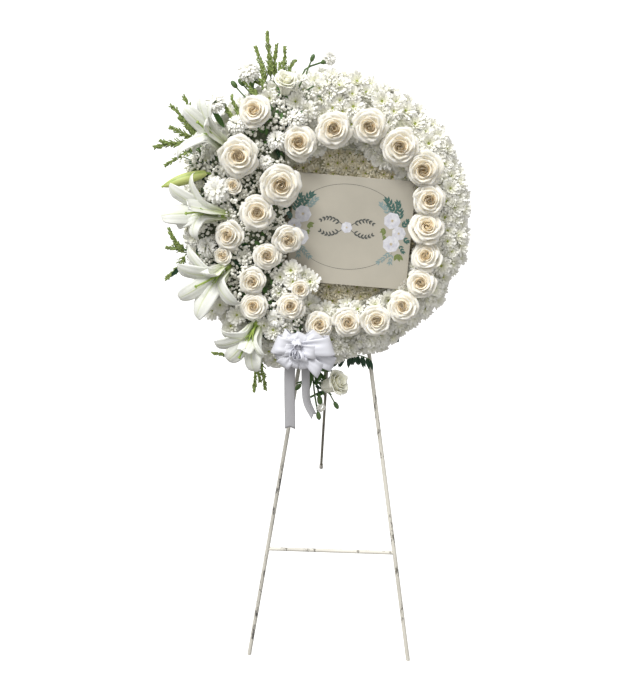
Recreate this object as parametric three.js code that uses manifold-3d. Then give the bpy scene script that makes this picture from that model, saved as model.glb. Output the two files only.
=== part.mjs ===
// A standing funeral wreath: a round bed of white chrysanthemums with a ring of roses round a message
// card, a cluster of roses, lilies and filler on its left side and a satin bow, hung on a tripod easel.
// Millimetres, +Z up. The wreath faces -Y and leans back with the easel's two front legs. The rear leg
// folds forward about a bolt in the top bracket. The origin is the middle of the footprint, on the floor.
import * as THREE from "three";
import { mergeVertices } from "three/addons/utils/BufferGeometryUtils.js";
import Module from "manifold-3d";

const wasm = await Module();
wasm.setup();

// ---------------------------------------------------------------- driving dimensions
const DEGREE = Math.PI / 180;
const EASEL = {
  apexHeight: 1190, // where the two front legs' axes would meet
  lean: 12 * DEGREE, // how far the front legs lean back
  footSpread: 375, // between the front feet
  legRadius: 4.5,
  legTop: 1150, // height at which the front legs end in the bracket
  barHeight: 260,
  barRadius: 4,
  rearRadius: 4,
  rearFoot: [-48, 643], // from below the apex
  pivotBack: 22, // the folding leg's bolt, behind the apex
  boltRadius: 3,
  hookDrop: 150, // the two hooks, below the wreath's centre
};
const WREATH = {
  drop: 197, // the wreath's centre, below the apex along the front legs' plane
  side: -33, // and off to the left of it
  radius: 298, // over the chrysanthemum tips
  openingCentre: [38, -10], // the dished middle, where the card lies
  openingRadius: 160,
  boardRadius: 256,
  foamRadius: 262,
};
// Depths out from the front legs' plane.
const DEPTH = { boardBack: 6, board: 6, foam: 24, rim: 22, dish: 14, crest: 74, skirt: 14, mound: 93 };
const CARD = { width: 252, height: 225, thickness: 3, centre: [60, -16], depth: 75.5, turn: 3.5 * DEGREE };
const STEM_RADIUS = 2.4;
const GAP = 0.3; // between pieces that touch
const CLEAR = 0.45; // how far a neighbour's faces are pushed out before it is cut away

const boardFront = DEPTH.boardBack + DEPTH.board;
const foamFront = boardFront + GAP + DEPTH.foam;
const rimFront = foamFront + DEPTH.rim;

// ---------------------------------------------------------------- solids
function toSolid(geometry) {
  const bare = geometry.clone();
  bare.deleteAttribute("normal");
  bare.deleteAttribute("uv");
  const merged = mergeVertices(bare, 1e-3);
  const kept = [];
  for (let i = 0; i < merged.index.count; i += 3) {
    const [a, b, c] = [0, 1, 2].map((k) => merged.index.getX(i + k));
    if (a !== b && b !== c && a !== c) kept.push(a, b, c);
  }
  return new wasm.Manifold(
    new wasm.Mesh({
      numProp: 3,
      vertProperties: new Float32Array(merged.attributes.position.array),
      triVerts: new Uint32Array(kept),
    }),
  );
}

function toGeometry(solid) {
  const mesh = solid.getMesh();
  const positions = new Float32Array(mesh.numVert * 3);
  for (let i = 0; i < mesh.numVert; i++) {
    positions.set(mesh.vertProperties.subarray(i * mesh.numProp, i * mesh.numProp + 3), i * 3);
  }
  const geometry = new THREE.BufferGeometry();
  geometry.setAttribute("position", new THREE.BufferAttribute(positions, 3));
  geometry.setIndex(new THREE.BufferAttribute(mesh.triVerts, 1));
  geometry.computeVertexNormals();
  return geometry;
}

const join = (...solids) => solids.reduce((whole, next) => whole.add(next));
const largest = (solid) => solid.decompose().sort((a, b) => b.volume() - a.volume())[0];

// The same solid with each of its faces pushed out by a distance, to cut room for it out of a neighbour.
function inflated(solid, by = CLEAR) {
  const geometry = toGeometry(solid);
  const { position } = geometry.attributes;
  const corners = Array.from({ length: position.count }, (_, i) => new THREE.Vector3().fromBufferAttribute(position, i));
  const normals = corners.map(() => []);
  for (let i = 0; i < geometry.index.count; i += 3) {
    const face = [0, 1, 2].map((k) => geometry.index.getX(i + k));
    const normal = new THREE.Triangle(...face.map((k) => corners[k])).getNormal(new THREE.Vector3());
    for (const k of face) normals[k].push(normal);
  }
  corners.forEach((corner, i) => {
    const shift = new THREE.Vector3();
    for (let round = 0; round < 12; round++) {
      for (const normal of normals[i]) shift.addScaledVector(normal, Math.max(0, by - normal.dot(shift)));
    }
    corner.add(shift.clampLength(0, 3 * by));
    position.setXYZ(i, corner.x, corner.y, corner.z);
  });
  return toSolid(geometry);
}

const tooClose = (a, b) => a.minGap(b, 1) < GAP;

// ---------------------------------------------------------------- shapes
// A closed skin over cross-sections with equal numbers of points, with flat ends.
function loft(sections) {
  const around = sections[0].length;
  const points = sections.flat();
  const faces = [];
  for (let s = 0; s + 1 < sections.length; s++) {
    for (let i = 0; i < around; i++) {
      const next = (i + 1) % around;
      const [a, b] = [s * around + i, s * around + next];
      faces.push(a, b, b + around, a, b + around, a + around);
    }
  }
  for (const [first, forward] of [[0, false], [(sections.length - 1) * around, true]]) {
    for (let i = 1; i + 1 < around; i++) {
      faces.push(...(forward ? [first, first + i, first + i + 1] : [first, first + i + 1, first + i]));
    }
  }
  const geometry = new THREE.BufferGeometry().setFromPoints(points);
  geometry.setIndex(faces);
  const solid = toSolid(geometry);
  return solid.volume() < 0 ? toSolid(flipped(geometry)) : solid;
}

function flipped(geometry) {
  const index = Array.from(geometry.index.array);
  for (let i = 0; i < index.length; i += 3) {
    [index[i + 1], index[i + 2]] = [index[i + 2], index[i + 1]];
  }
  geometry.setIndex(index);
  return geometry;
}

// A round bar between two points that may thin towards its end.
function bar(from, to, radius, sides = 6, endRadius = radius) {
  const geometry = new THREE.CylinderGeometry(endRadius, radius, from.distanceTo(to), sides);
  const turn = new THREE.Quaternion().setFromUnitVectors(
    new THREE.Vector3(0, 1, 0),
    to.clone().sub(from).normalize(),
  );
  geometry.applyQuaternion(turn);
  geometry.translate(...from.clone().lerp(to, 0.5).toArray());
  return toSolid(geometry);
}

// A block of size (x, y, z) turned by a quaternion about its own centre.
function block(size, centre, turn = new THREE.Quaternion()) {
  const geometry = new THREE.BoxGeometry(...size);
  geometry.applyQuaternion(turn);
  geometry.translate(centre.x, centre.y, centre.z);
  return toSolid(geometry);
}

// A spindle through points along a curve: a bud, a sprig or a leaf. Its radius swells and shrinks again,
// and ripples for a sprig of small buds.
function spindle(points, radius, { flat = 1, ripple = 0, sides = 5, steps = 6, fullest = 0.4 } = {}) {
  const curve = new THREE.CatmullRomCurve3(points);
  const frames = curve.computeFrenetFrames(steps);
  const sections = [];
  for (let s = 0; s <= steps; s++) {
    const t = s / steps;
    const swell = t < fullest ? t / fullest : (1 - t) / (1 - fullest);
    const reach = radius * (0.16 + 0.84 * Math.sqrt(swell)) * (1 + ripple * (s % 2 ? 1 : -1));
    const centre = curve.getPoint(t);
    sections.push(
      Array.from({ length: sides }, (_, i) => {
        const turn = (i / sides) * 2 * Math.PI;
        return centre
          .clone()
          .addScaledVector(frames.normals[s], Math.cos(turn) * reach)
          .addScaledVector(frames.binormals[s], Math.sin(turn) * reach * flat);
      }),
    );
  }
  return loft(sections);
}

// A ribbon of given width and thickness along points, its width along a fixed direction.
function ribbon(points, across, width, thickness) {
  const curve = new THREE.CatmullRomCurve3(points);
  const steps = points.length * 2;
  const sections = [];
  for (let s = 0; s <= steps; s++) {
    const centre = curve.getPoint(s / steps);
    const side = across.clone().normalize().multiplyScalar(width / 2);
    const face = curve.getTangent(s / steps).cross(side).normalize().multiplyScalar(thickness / 2);
    sections.push([
      centre.clone().add(side).add(face),
      centre.clone().sub(side).add(face),
      centre.clone().sub(side).sub(face),
      centre.clone().add(side).sub(face),
    ]);
  }
  return loft(sections);
}

// ---------------------------------------------------------------- the wreath's own axes
// u runs right, v up the face and w out of it; in the wreath's group these are +X, +Z and -Y.
const at = (u, v, w) => new THREE.Vector3(u, -w, v);

// The direction that a flower faces when it is tipped right and up by these angles.
function facing(right, up) {
  const [a, b] = [right * DEGREE, up * DEGREE];
  return at(Math.sin(a) * Math.cos(b), Math.sin(b), Math.cos(a) * Math.cos(b));
}

// Stands a geometry modelled up +Y at a point, facing a direction.
function stood(geometry, point, direction) {
  geometry.applyQuaternion(new THREE.Quaternion().setFromUnitVectors(new THREE.Vector3(0, 1, 0), direction));
  geometry.translate(point.x, point.y, point.z);
  return toSolid(geometry);
}

// The bed's outline swells a little at the upper right and hangs lower at the lower left.
function outerRadius(turn) {
  const degrees = ((turn / DEGREE) % 360 + 360) % 360;
  return WREATH.radius + 8 * Math.cos(turn - 60 * DEGREE) + 36 * Math.exp(-(((degrees - 250) / 15) ** 2));
}

const openingEdge = (turn, grow = 0) => [
  WREATH.openingCentre[0] + (WREATH.openingRadius + grow) * Math.cos(turn),
  WREATH.openingCentre[1] + (WREATH.openingRadius + grow) * Math.sin(turn),
];
const discEdge = (turn, radius) => [radius * Math.cos(turn), radius * Math.sin(turn)];

// A closed ring over a profile that is a function of the turn round the wreath.
function ringOf(profile, steps) {
  const sections = Array.from({ length: steps }, (_, s) => {
    const turn = (s / steps) * 2 * Math.PI;
    return profile(turn, s).map(([[u, v], w]) => at(u, v, w));
  });
  const around = sections[0].length;
  const faces = [];
  for (let s = 0; s < steps; s++) {
    for (let i = 0; i < around; i++) {
      const next = (i + 1) % around;
      const [a, b] = [s * around, ((s + 1) % steps) * around];
      faces.push(a + i, a + next, b + next, a + i, b + next, b + i);
    }
  }
  const geometry = new THREE.BufferGeometry().setFromPoints(sections.flat());
  geometry.setIndex(faces);
  const solid = toSolid(geometry);
  return solid.volume() < 0 ? toSolid(flipped(geometry)) : solid;
}

// ---------------------------------------------------------------- wreath base
const BED_STEPS = 45;

function backingBoard() {
  const disc = new THREE.CylinderGeometry(WREATH.boardRadius, WREATH.boardRadius, DEPTH.board, 36);
  disc.translate(0, -(DEPTH.boardBack + DEPTH.board / 2), 0);
  return toSolid(disc);
}

// A foam disc with a raised rim that lifts the outer band of flowers.
const rimEdge = (turn) => Math.min(outerRadius(turn) - 44, WREATH.foamRadius - 4);

function foamBase() {
  const disc = new THREE.CylinderGeometry(WREATH.foamRadius, WREATH.foamRadius, DEPTH.foam, BED_STEPS);
  disc.translate(0, -(boardFront + GAP + DEPTH.foam / 2), 0);
  const rim = ringOf(
    (turn) => [
      [discEdge(turn, rimEdge(turn)), foamFront - 3],
      [discEdge(turn, rimEdge(turn)), rimFront],
      [openingEdge(turn, 14), rimFront],
      [openingEdge(turn, 14), foamFront - 3],
    ],
    BED_STEPS,
  );
  return join(toSolid(disc), rim);
}

// The raised outer band of chrysanthemums: a shell over the foam's rim, rippled by the flower heads.
function chrysanthemumRing() {
  return ringOf((turn, step) => {
    const dip = step % 3 === 0 ? 6 : 0; // three cross-sections to one head
    const edge = outerRadius(turn);
    const outer = edge - dip;
    const crest = DEPTH.crest - dip;
    const middle = discEdge(turn, outer - 56).map((c, k) => (c + openingEdge(turn, 24)[k]) / 2);
    return [
      [discEdge(turn, outer - 8), DEPTH.skirt],
      [discEdge(turn, outer), DEPTH.skirt + 22],
      [discEdge(turn, outer - 6), crest - 20],
      [discEdge(turn, outer - 28), crest - 4],
      [middle, crest],
      [openingEdge(turn, 20), crest - 2],
      [openingEdge(turn, 3), crest - 16],
      [openingEdge(turn), foamFront + GAP + 0.1],
      [openingEdge(turn, 13.4), foamFront + GAP + 0.1],
      [openingEdge(turn, 13.4), rimFront + 0.5],
      [discEdge(turn, rimEdge(turn) + 0.6), rimFront + 0.5],
      [discEdge(turn, rimEdge(turn) + 0.6), foamFront + GAP + 0.1],
      [discEdge(turn, WREATH.foamRadius + 1.4), foamFront + GAP + 0.1],
      [discEdge(turn, WREATH.foamRadius + 1.4), DEPTH.skirt],
    ];
  }, BED_STEPS);
}

// The flat middle of chrysanthemums behind the card.
function chrysanthemumCentre() {
  const radius = WREATH.openingRadius - 1.5;
  const profile = [
    [0, 0],
    [radius, 0],
    [radius, DEPTH.dish - 4],
    [radius * 0.9, DEPTH.dish],
    [radius * 0.6, DEPTH.dish - 4],
    [radius * 0.3, DEPTH.dish],
    [0, DEPTH.dish - 3],
  ].map(([r, h]) => new THREE.Vector2(r, h));
  const [u, v] = WREATH.openingCentre;
  return stood(new THREE.LatheGeometry(profile, 24), at(u, v, foamFront + GAP), facing(0, 0));
}

// The mound of baby's breath and leaves that fills the bed's left side, up to the card's edge.
function babysBreathMound() {
  const [start, end, steps] = [100 * DEGREE, 260 * DEGREE, 12];
  const [lowest, innerLine] = [DEPTH.crest + 0.5, 80];
  const sections = [];
  for (let s = 0; s <= steps; s++) {
    const turn = start + ((end - start) * s) / steps;
    const outer = s === 0 || s === steps ? 236 : 266 - (s % 2) * 5;
    const inner = Math.min(innerLine / Math.abs(Math.cos(turn)), 196);
    const top = DEPTH.mound - (s % 2) * 2;
    sections.push(
      [[0, lowest], [0.12, top - 5], [0.5, top], [0.86, top - 6], [1, lowest]].map(([x, w]) => {
        const [u, v] = discEdge(turn, inner + (outer - inner) * x);
        return at(u, v, w);
      }),
    );
  }
  return loft(sections);
}

// ---------------------------------------------------------------- flowers
// A flower or sprig is a list of simple solids: what it is joined from, and what is cut away for it.
// Where a stem ends: in the foam's rim, or in the flat foam below the dished middle.
function intoFoam(u, v) {
  const [cu, cv] = WREATH.openingCentre;
  const inDish = Math.hypot(u - cu, v - cv) < WREATH.openingRadius + 16;
  return at(u, v, inDish ? foamFront - 10 : rimFront - 14);
}
// A point pulled in to the foam from the bed's edge, at a depth.
function inwards(u, v, w, radius = 238) {
  const scale = radius / Math.hypot(u, v);
  return at(u * scale, v * scale, w);
}

// A rose head: base cone, belly, rolled rim and the whorl inside it, on its stem.
function rose(point, direction, diameter, stemEnd) {
  const radius = diameter / 2;
  const profile = [
    [0, 0],
    [0.28, 0.01],
    [0.84, 0.25],
    [1, 0.5],
    [0.9, 0.62],
    [0.62, 0.52],
    [0.4, 0.66],
    [0, 0.58],
  ].map(([r, h]) => new THREE.Vector2(r * radius, h * diameter));
  const head = stood(new THREE.LatheGeometry(profile, 8), point, direction);
  const stem = bar(point.clone().addScaledVector(direction, 4), stemEnd, STEM_RADIUS, 5);
  return [head, stem];
}

// One petal in a vertical plane: its middle line as [out, up] pairs and its width along them.
function petal(line, widths, turn, thickness) {
  const sections = line.map(([out, up], s) => {
    const [before, after] = [line[Math.max(s - 1, 0)], line[Math.min(s + 1, line.length - 1)]];
    const slope = new THREE.Vector2(after[0] - before[0], after[1] - before[1]).normalize();
    const half = widths[s] / 2;
    const cup = 0.22 * half;
    return [[-1, 1], [0, 0], [1, 1], [0, -1]].map(([side, rise]) => {
      const lift = (rise === 1 ? cup : 0) - (rise === -1 ? thickness : 0);
      const [x, y] = [out - slope.y * lift, up + slope.x * lift];
      return new THREE.Vector3(x, y, side * half).applyAxisAngle(new THREE.Vector3(0, 1, 0), turn);
    });
  });
  return loft(sections);
}

// A lily: six petals that flare from a trumpet and curl back at their tips, and a pistil.
function lily(point, direction, size, spin, stemEnd) {
  const line = [[0.02, 0.1], [0.2, 0.42], [0.6, 0.7], [0.95, 0.66]].map((p) => p.map((c) => c * size));
  const turnTo = new THREE.Quaternion().setFromUnitVectors(new THREE.Vector3(0, 1, 0), direction);
  const pose = new THREE.Matrix4().compose(point, turnTo, new THREE.Vector3(1, 1, 1));
  const posed = (solid) => toSolid(toGeometry(solid).applyMatrix4(pose));
  const petals = Array.from({ length: 6 }, (_, i) => {
    const wide = i % 2 ? 0.4 : 0.32;
    const widths = [0.12, 0.66 * wide, wide, 0.06].map((c) => c * size);
    return posed(petal(line, widths, spin * DEGREE + (i * Math.PI) / 3, 2.6));
  });
  const throat = posed(
    toSolid(
      new THREE.LatheGeometry([[0, 0], [5, 0], [9, 0.22 * size], [0, 0.26 * size]].map((p) => new THREE.Vector2(...p)), 6),
    ),
  );
  const pistil = posed(bar(new THREE.Vector3(0, 4, 0), new THREE.Vector3(5, 0.84 * size, 0), 2, 4, 2.6));
  const stem = bar(point.clone().addScaledVector(direction, 3), stemEnd, STEM_RADIUS, 5);
  return [throat, stem, pistil, ...petals];
}

// A carnation's ruffled head.
function ruffledHead(centre, radius, detail = 1) {
  const geometry = new THREE.IcosahedronGeometry(radius, detail);
  const { position } = geometry.attributes;
  const point = new THREE.Vector3();
  for (let i = 0; i < position.count; i++) {
    point.fromBufferAttribute(position, i);
    const ruffle = 1 + 0.1 * Math.sin(point.x * 0.9) * Math.cos(point.y * 0.8 + point.z * 0.7);
    position.setXYZ(i, point.x * ruffle, point.y * ruffle, point.z * ruffle);
  }
  geometry.translate(centre.x, centre.y, centre.z);
  return toSolid(geometry);
}

// Long stems from one point, each ending in a bud.
function buddedStems(from, ends, { stem = 1.8, bud = 5.5, budLength = 20 } = {}) {
  return ends.flatMap((end) => {
    const along = end.clone().sub(from).normalize();
    const [start, tip] = [-6, budLength - 6].map((step) => end.clone().addScaledVector(along, step));
    return [bar(from, end, stem + 0.4, 4, stem), spindle([start, tip], bud, { steps: 3, fullest: 0.5 })];
  });
}

// Sprigs that fan out from one point, each a rippled spindle or a flat leaf.
function sprigs(from, list) {
  return list.map(({ to, radius = 6, flat = 1, ripple = 0.22, bend = [0, 0, 0] }) => {
    const middle = from.clone().lerp(to, 0.5).add(at(...bend));
    return spindle([from, middle, to], radius, { flat, ripple, steps: 6, sides: 4 });
  });
}

// ---------------------------------------------------------------- layout on the wreath
// Roses round the card: [u, v, diameter, tipped right, tipped up], clockwise from the upper left.
const RING_ROSES = [
  [-50, 160, 68, 6, 4],
  [22, 188, 68, -4, 4],
  [95, 198, 66, 0, -6],
  [155, 158, 72, -6, 0],
  [208, 115, 70, -10, -8],
  [219, 51, 62, -6, 2],
  [214, -12, 66, 0, 16],
  [222, -68, 58, -10, 12],
  [213, -122, 58, -6, 6],
  [177, -172, 60, -6, 8],
  [116, -201, 60, 0, 6],
  [55, -207, 58, 4, 8],
  [-5, -216, 56, 8, 8],
];
const RING_ROSE_DEPTH = 77; // of the ring roses' bases
// Roses of the left cluster: the same, with the depth of the head's base.
const CLUSTER_ROSES = [
  [-136, 216, 62, 0, 10, 97],
  [-168, 132, 76, 2, 4, 97],
  [-90, 79, 76, 6, -2, 98],
  [-133, 20, 66, 0, 2, 98],
  [-186, -26, 58, -6, 0, 97],
  [-72, -30, 56, 8, -4, 97],
  [-113, -68, 52, 2, 4, 99],
  [-140, -119, 52, 0, 0, 97],
  [-136, -176, 54, 0, 8, 97],
  [-62, -174, 54, 4, 4, 92],
];
// Lilies: throat [u, v, w], direction they face [u, v, w], petal length and the turn of their petals.
const LILIES = [
  [[-218, 172, 98], [-0.6, 0.3, 0.74], 84, 10],
  [[-250, 28, 96], [-0.46, -0.02, 0.88], 84, 25],
  [[-226, -112, 98], [-0.3, -0.16, 0.92], 82, 5],
  [[-150, -232, 98], [-0.16, -0.3, 0.93], 76, 35],
];

const parts = new Map(); // name: { pieces, solid, finish }
const FINISH = {
  petal: { color: 0xf4eee0, roughness: 0.6 },
  rose: { color: 0xf2e6cf, roughness: 0.55 },
  lily: { color: 0xf7f5ee, roughness: 0.45 },
  bud: { color: 0xb9c86a, roughness: 0.5 },
  chrysanthemum: { color: 0xefede0, roughness: 0.7 },
  filler: { color: 0xdfe3d6, roughness: 0.8 },
  leaf: { color: 0x4f7030, roughness: 0.65 },
  fern: { color: 0x1f3a24, roughness: 0.6 },
  satin: { color: 0xf1f2f6, roughness: 0.3 },
  card: { color: 0xded5c4, roughness: 0.5 },
  board: { color: 0xcdb892, roughness: 0.8 },
  foam: { color: 0xe6e6de, roughness: 0.9 },
  pick: { color: 0xb98f5c, roughness: 0.7 },
  paint: { color: 0xe4dfd0, roughness: 0.5, metalness: 0.1 },
  steel: { color: 0x9a9a98, roughness: 0.35, metalness: 0.9 },
};
// Adds a piece to the wreath, with room cut out of it for any piece that it would touch.
function add(name, pieces, finish) {
  let solid = join(...pieces);
  for (const other of parts.values()) {
    if (tooClose(solid, other.solid)) solid = largest(solid.subtract(inflated(other.solid)));
  }
  parts.set(name, { pieces, solid, finish });
}
// Adds a layer of the bed, with a hole for each stem and a hollow for each head that reaches into it.
function addBed(name, bed, finish) {
  let solid = bed;
  for (const other of parts.values()) {
    if (!tooClose(solid, other.solid)) continue;
    for (const piece of other.pieces) {
      if (tooClose(solid, piece)) solid = solid.subtract(inflated(piece));
    }
  }
  parts.set(name, { pieces: [], solid: largest(solid), finish }); // the layers fit each other as drawn
}

// Hooks on the front legs, through slots in the board. Their places follow from the easel.
const fallPerDrop = EASEL.footSpread / 2 / (EASEL.apexHeight / Math.cos(EASEL.lean));
const hookOut = (WREATH.drop + EASEL.hookDrop) * fallPerDrop;
const HOOK = { radius: 2.5, reach: 24, rise: 16 };
for (const [name, side] of [["hook_left", -1], ["hook_right", 1]]) {
  const u = side * hookOut - WREATH.side;
  const [start, end] = [EASEL.legRadius + GAP, HOOK.reach];
  const arm = bar(at(u, -EASEL.hookDrop, start), at(u, -EASEL.hookDrop, end), HOOK.radius, 8);
  const tip = bar(at(u, -EASEL.hookDrop - 2, end - 2), at(u, -EASEL.hookDrop + HOOK.rise, end - 2), HOOK.radius, 8);
  add(name, [arm, tip], FINISH.paint);
}
const slots = [-1, 1].map((side) => {
  const u = side * hookOut - WREATH.side;
  const through = block([7, 14, 25], at(u, -EASEL.hookDrop + 8, boardFront - 4));
  const pocket = block([7, 18, 30], at(u, -EASEL.hookDrop + 7, boardFront + 8.5));
  return { through, pocket };
});

// The card on its bamboo pick.
const cardTurn = new THREE.Quaternion().setFromAxisAngle(new THREE.Vector3(0, 1, 0), CARD.turn);
add(
  "message_card",
  [block([CARD.width, CARD.thickness, CARD.height], at(...CARD.centre, CARD.depth + CARD.thickness / 2), cardTurn)],
  FINISH.card,
);
add(
  "card_pick",
  [bar(at(...CARD.centre, CARD.depth - GAP), at(...CARD.centre, boardFront + 8), 2, 6, 1.2)],
  FINISH.pick,
);

RING_ROSES.forEach(([u, v, diameter, right, up], i) => {
  const name = "ring_rose_" + String(i + 1).padStart(2, "0");
  add(name, rose(at(u, v, RING_ROSE_DEPTH), facing(right, up), diameter, intoFoam(u, v)), FINISH.rose);
});
CLUSTER_ROSES.forEach(([u, v, diameter, right, up, depth], i) => {
  const name = "cluster_rose_" + String(i + 1).padStart(2, "0");
  add(name, rose(at(u, v, depth), facing(right, up), diameter, intoFoam(u, v)), FINISH.rose);
});
add("top_rose", rose(at(-82, 274, 84), facing(10, 52), 50, inwards(-82, 274, 50)), FINISH.petal);
add("hanging_rose", rose(at(14, -322, 58), facing(58, -20), 52, inwards(14, -322, 46)), FINISH.petal);

LILIES.forEach(([point, direction, size, spin], i) => {
  const [u, v] = point;
  const solid = lily(at(...point), at(...direction).normalize(), size, spin, inwards(u, v, 46));
  add(`lily_${i + 1}`, solid, FINISH.lily);
});
add(
  "lily_bud",
  [
    spindle([at(-240, 98, 94), at(-285, 84, 104), at(-328, 69, 108)], 12, { fullest: 0.45 }),
    bar(at(-244, 97, 95), inwards(-244, 97, 46), STEM_RADIUS, 5),
  ],
  FINISH.bud,
);
add(
  "carnation_left",
  [ruffledHead(at(-226, 74, 119), 20), bar(at(-222, 72, 106), inwards(-222, 72, 46, 230), STEM_RADIUS, 5)],
  FINISH.petal,
);
const topStem = at(-146, 280, 56);
add(
  "carnation_top",
  [
    bar(topStem, inwards(-146, 280, 48), STEM_RADIUS, 5),
    bar(topStem.clone().add(at(2, -4, 0)), at(-155, 292, 62), 5, 6, 9),
    ruffledHead(at(-157, 302, 62), 20),
    ...buddedStems(topStem, [at(-190, 282, 62), at(-174, 286, 52)], { bud: 5 }),
  ],
  FINISH.petal,
);
const sprayStem = at(-48, 308, 46);
add(
  "carnation_spray",
  [
    bar(sprayStem, inwards(-48, 308, 46), STEM_RADIUS, 5),
    bar(sprayStem, at(-8, 326, 46), 2, 5),
    bar(at(-12, 324, 46), at(2, 330, 46), 5.5, 6, 8),
    ruffledHead(at(8, 333, 46), 12),
    ...buddedStems(sprayStem, [at(-26, 335, 50)]),
  ],
  FINISH.petal,
);

// The bow: puffed loops either side of a gathered knot, and two tails that hang straight down.
const BOW = { centre: [-45, -262], depth: 114, width: 38, thickness: 1.6 };
const [bowU, bowV] = BOW.centre;
const bowPoint = (u, v, w) => at(bowU + u, bowV + v, BOW.depth + w);
add(
  "bow_knot",
  [bar(bowPoint(0, 0, -16), bowPoint(0, 0, 24), 11, 8, 8), bar(bowPoint(0, 0, -10), inwards(bowU, bowV, 46), 2, 5)],
  FINISH.satin,
);
for (const [name, side] of [["bow_loop_left", -1], ["bow_loop_right", 1]]) {
  const loop = (reach, drop, tall, across, width) =>
    ribbon(
      [
        bowPoint(side * 10, drop * 0.2, 6),
        bowPoint(side * reach * 0.6, drop * 0.7, 16 + tall),
        bowPoint(side * reach, drop, 8 + tall * 0.3),
        bowPoint(side * reach * 0.92, drop, -8),
        bowPoint(side * reach * 0.4, drop * 0.6, -12),
        bowPoint(side * 10, drop * 0.2, 0),
      ],
      at(...across),
      width,
      BOW.thickness,
    );
  const upper = loop(50, 6, 12, [0.1 * side, 1, 0], BOW.width);
  const lower = loop(56, -26, 2, [0.45 * side, 0.9, 0], BOW.width * 0.7);
  add(name, [upper, lower], FINISH.satin);
}
// Straight down in the world is along this direction in the leaning wreath's axes.
const down = (u, v, w, fall, out = 0) =>
  at(u, v - fall * Math.cos(EASEL.lean), w - fall * Math.sin(EASEL.lean) + out);
add(
  "ribbon_tail_left",
  [
    ribbon(
      [at(-58, -276, 92), at(-60, -292, 99), down(-62, -300, 102, 30), down(-62, -300, 102, 75, 4), down(-60, -300, 102, 126)],
      at(1, 0, 0.1),
      23,
      1.2,
    ),
  ],
  FINISH.satin,
);
add(
  "ribbon_tail_right",
  [
    ribbon(
      [at(-33, -276, 90), at(-31, -292, 98), down(-28, -300, 100, 30, 3), down(-24, -300, 100, 75), down(-10, -300, 100, 108, 6)],
      at(1, 0, 0.5),
      20,
      1.2,
    ),
  ],
  FINISH.satin,
);

// Greens: a stem through the bed's edge into the foam, and what fans out from it.
function addGreens(name, [u, v, w], list, finish = FINISH.leaf, more = []) {
  const from = at(u, v, w);
  add(name, [bar(from, inwards(u, v, w, 236), 2, 4), ...sprigs(from, list), ...more], finish);
}
addGreens("greens_top", [-104, 306, 48], [
  { to: at(-119, 376, 50), radius: 8 },
  { to: at(-141, 344, 42), radius: 6 },
  { to: at(-84, 344, 46), radius: 6 },
]);
addGreens("greens_upper_left", [-266, 172, 46], [
  { to: at(-291, 251, 48), radius: 6 },
  { to: at(-318, 233, 50), radius: 7 },
  { to: at(-321, 190, 44), radius: 6 },
  { to: at(-354, 150, 46), radius: 8 },
  { to: at(-333, 114, 42), radius: 6, bend: [-6, 0, 0] },
]);
addGreens("greens_left", [-302, -70, 46], [
  { to: at(-327, -22, 48), radius: 6 },
  { to: at(-330, -60, 46), radius: 6 },
  { to: at(-330, -126, 46), radius: 8 },
]);
addGreens("greens_lower_left", [-160, -292, 46], [
  { to: at(-230, -288, 46), radius: 5, bend: [0, -6, 0] },
  { to: at(-142, -362, 52), radius: 6 },
  { to: at(-118, -366, 48), radius: 5 },
]);
addGreens(
  "fern_leaf",
  [80, -290, 26],
  [
    { to: at(58, -322, 28), radius: 6, flat: 0.3, ripple: 0 },
    { to: at(78, -330, 26), radius: 6, flat: 0.3, ripple: 0 },
    { to: at(102, -324, 26), radius: 6, flat: 0.3, ripple: 0 },
    { to: at(168, -268, 26), radius: 6, flat: 0.3, ripple: 0, bend: [8, -8, 0] },
  ],
  FINISH.fern,
);
const hangingRoot = at(-16, -312, 40);
addGreens(
  "hanging_stems",
  [-16, -312, 40],
  [
    { to: at(-24, -372, 46), radius: 11, flat: 0.3, ripple: 0 },
    { to: at(22, -352, 38), radius: 10, flat: 0.3, ripple: 0 },
  ],
  FINISH.leaf,
  [
    ...buddedStems(hangingRoot, [at(-46, -360, 46), at(38, -398, 50), at(0, -420, 52)], { bud: 6, budLength: 22 }),
    ruffledHead(at(4, -404, 52), 9, 0),
  ],
);

// The bed: filler over chrysanthemums over foam on a board, with a hole for every stem and hook.
addBed("babys_breath", babysBreathMound(), FINISH.filler);
addBed("chrysanthemum_ring", chrysanthemumRing(), FINISH.chrysanthemum);
addBed("chrysanthemum_centre", chrysanthemumCentre(), FINISH.chrysanthemum);
const withoutHooks = (solid, which) => slots.reduce((left, slot) => left.subtract(slot[which]), solid);
addBed("foam_base", withoutHooks(foamBase(), "pocket"), FINISH.foam);
addBed("backing_board", withoutHooks(backingBoard(), "through"), FINISH.board);

function meshOf(name, solid, finish) {
  const mesh = new THREE.Mesh(toGeometry(solid), new THREE.MeshStandardMaterial(finish));
  mesh.name = name;
  return mesh;
}

const wreath = new THREE.Group();
for (const [name, { solid, finish }] of parts) wreath.add(meshOf(name, solid, finish));
wreath.rotation.x = -EASEL.lean;
wreath.position.set(
  WREATH.side,
  -WREATH.drop * Math.sin(EASEL.lean),
  EASEL.apexHeight - WREATH.drop * Math.cos(EASEL.lean),
);

// ---------------------------------------------------------------- easel
const floor = block([3000, 3000, 200], new THREE.Vector3(0, 0, -100));
const frontFootY = -EASEL.apexHeight * Math.tan(EASEL.lean);
// A point on a front leg's axis at a height.
function onLeg(side, height) {
  const fall = 1 - height / EASEL.apexHeight;
  return new THREE.Vector3((side * EASEL.footSpread * fall) / 2, frontFootY * fall, height);
}
const frontLeg = (side) => bar(onLeg(side, -20), onLeg(side, EASEL.legTop), EASEL.legRadius, 12).subtract(floor);

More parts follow.
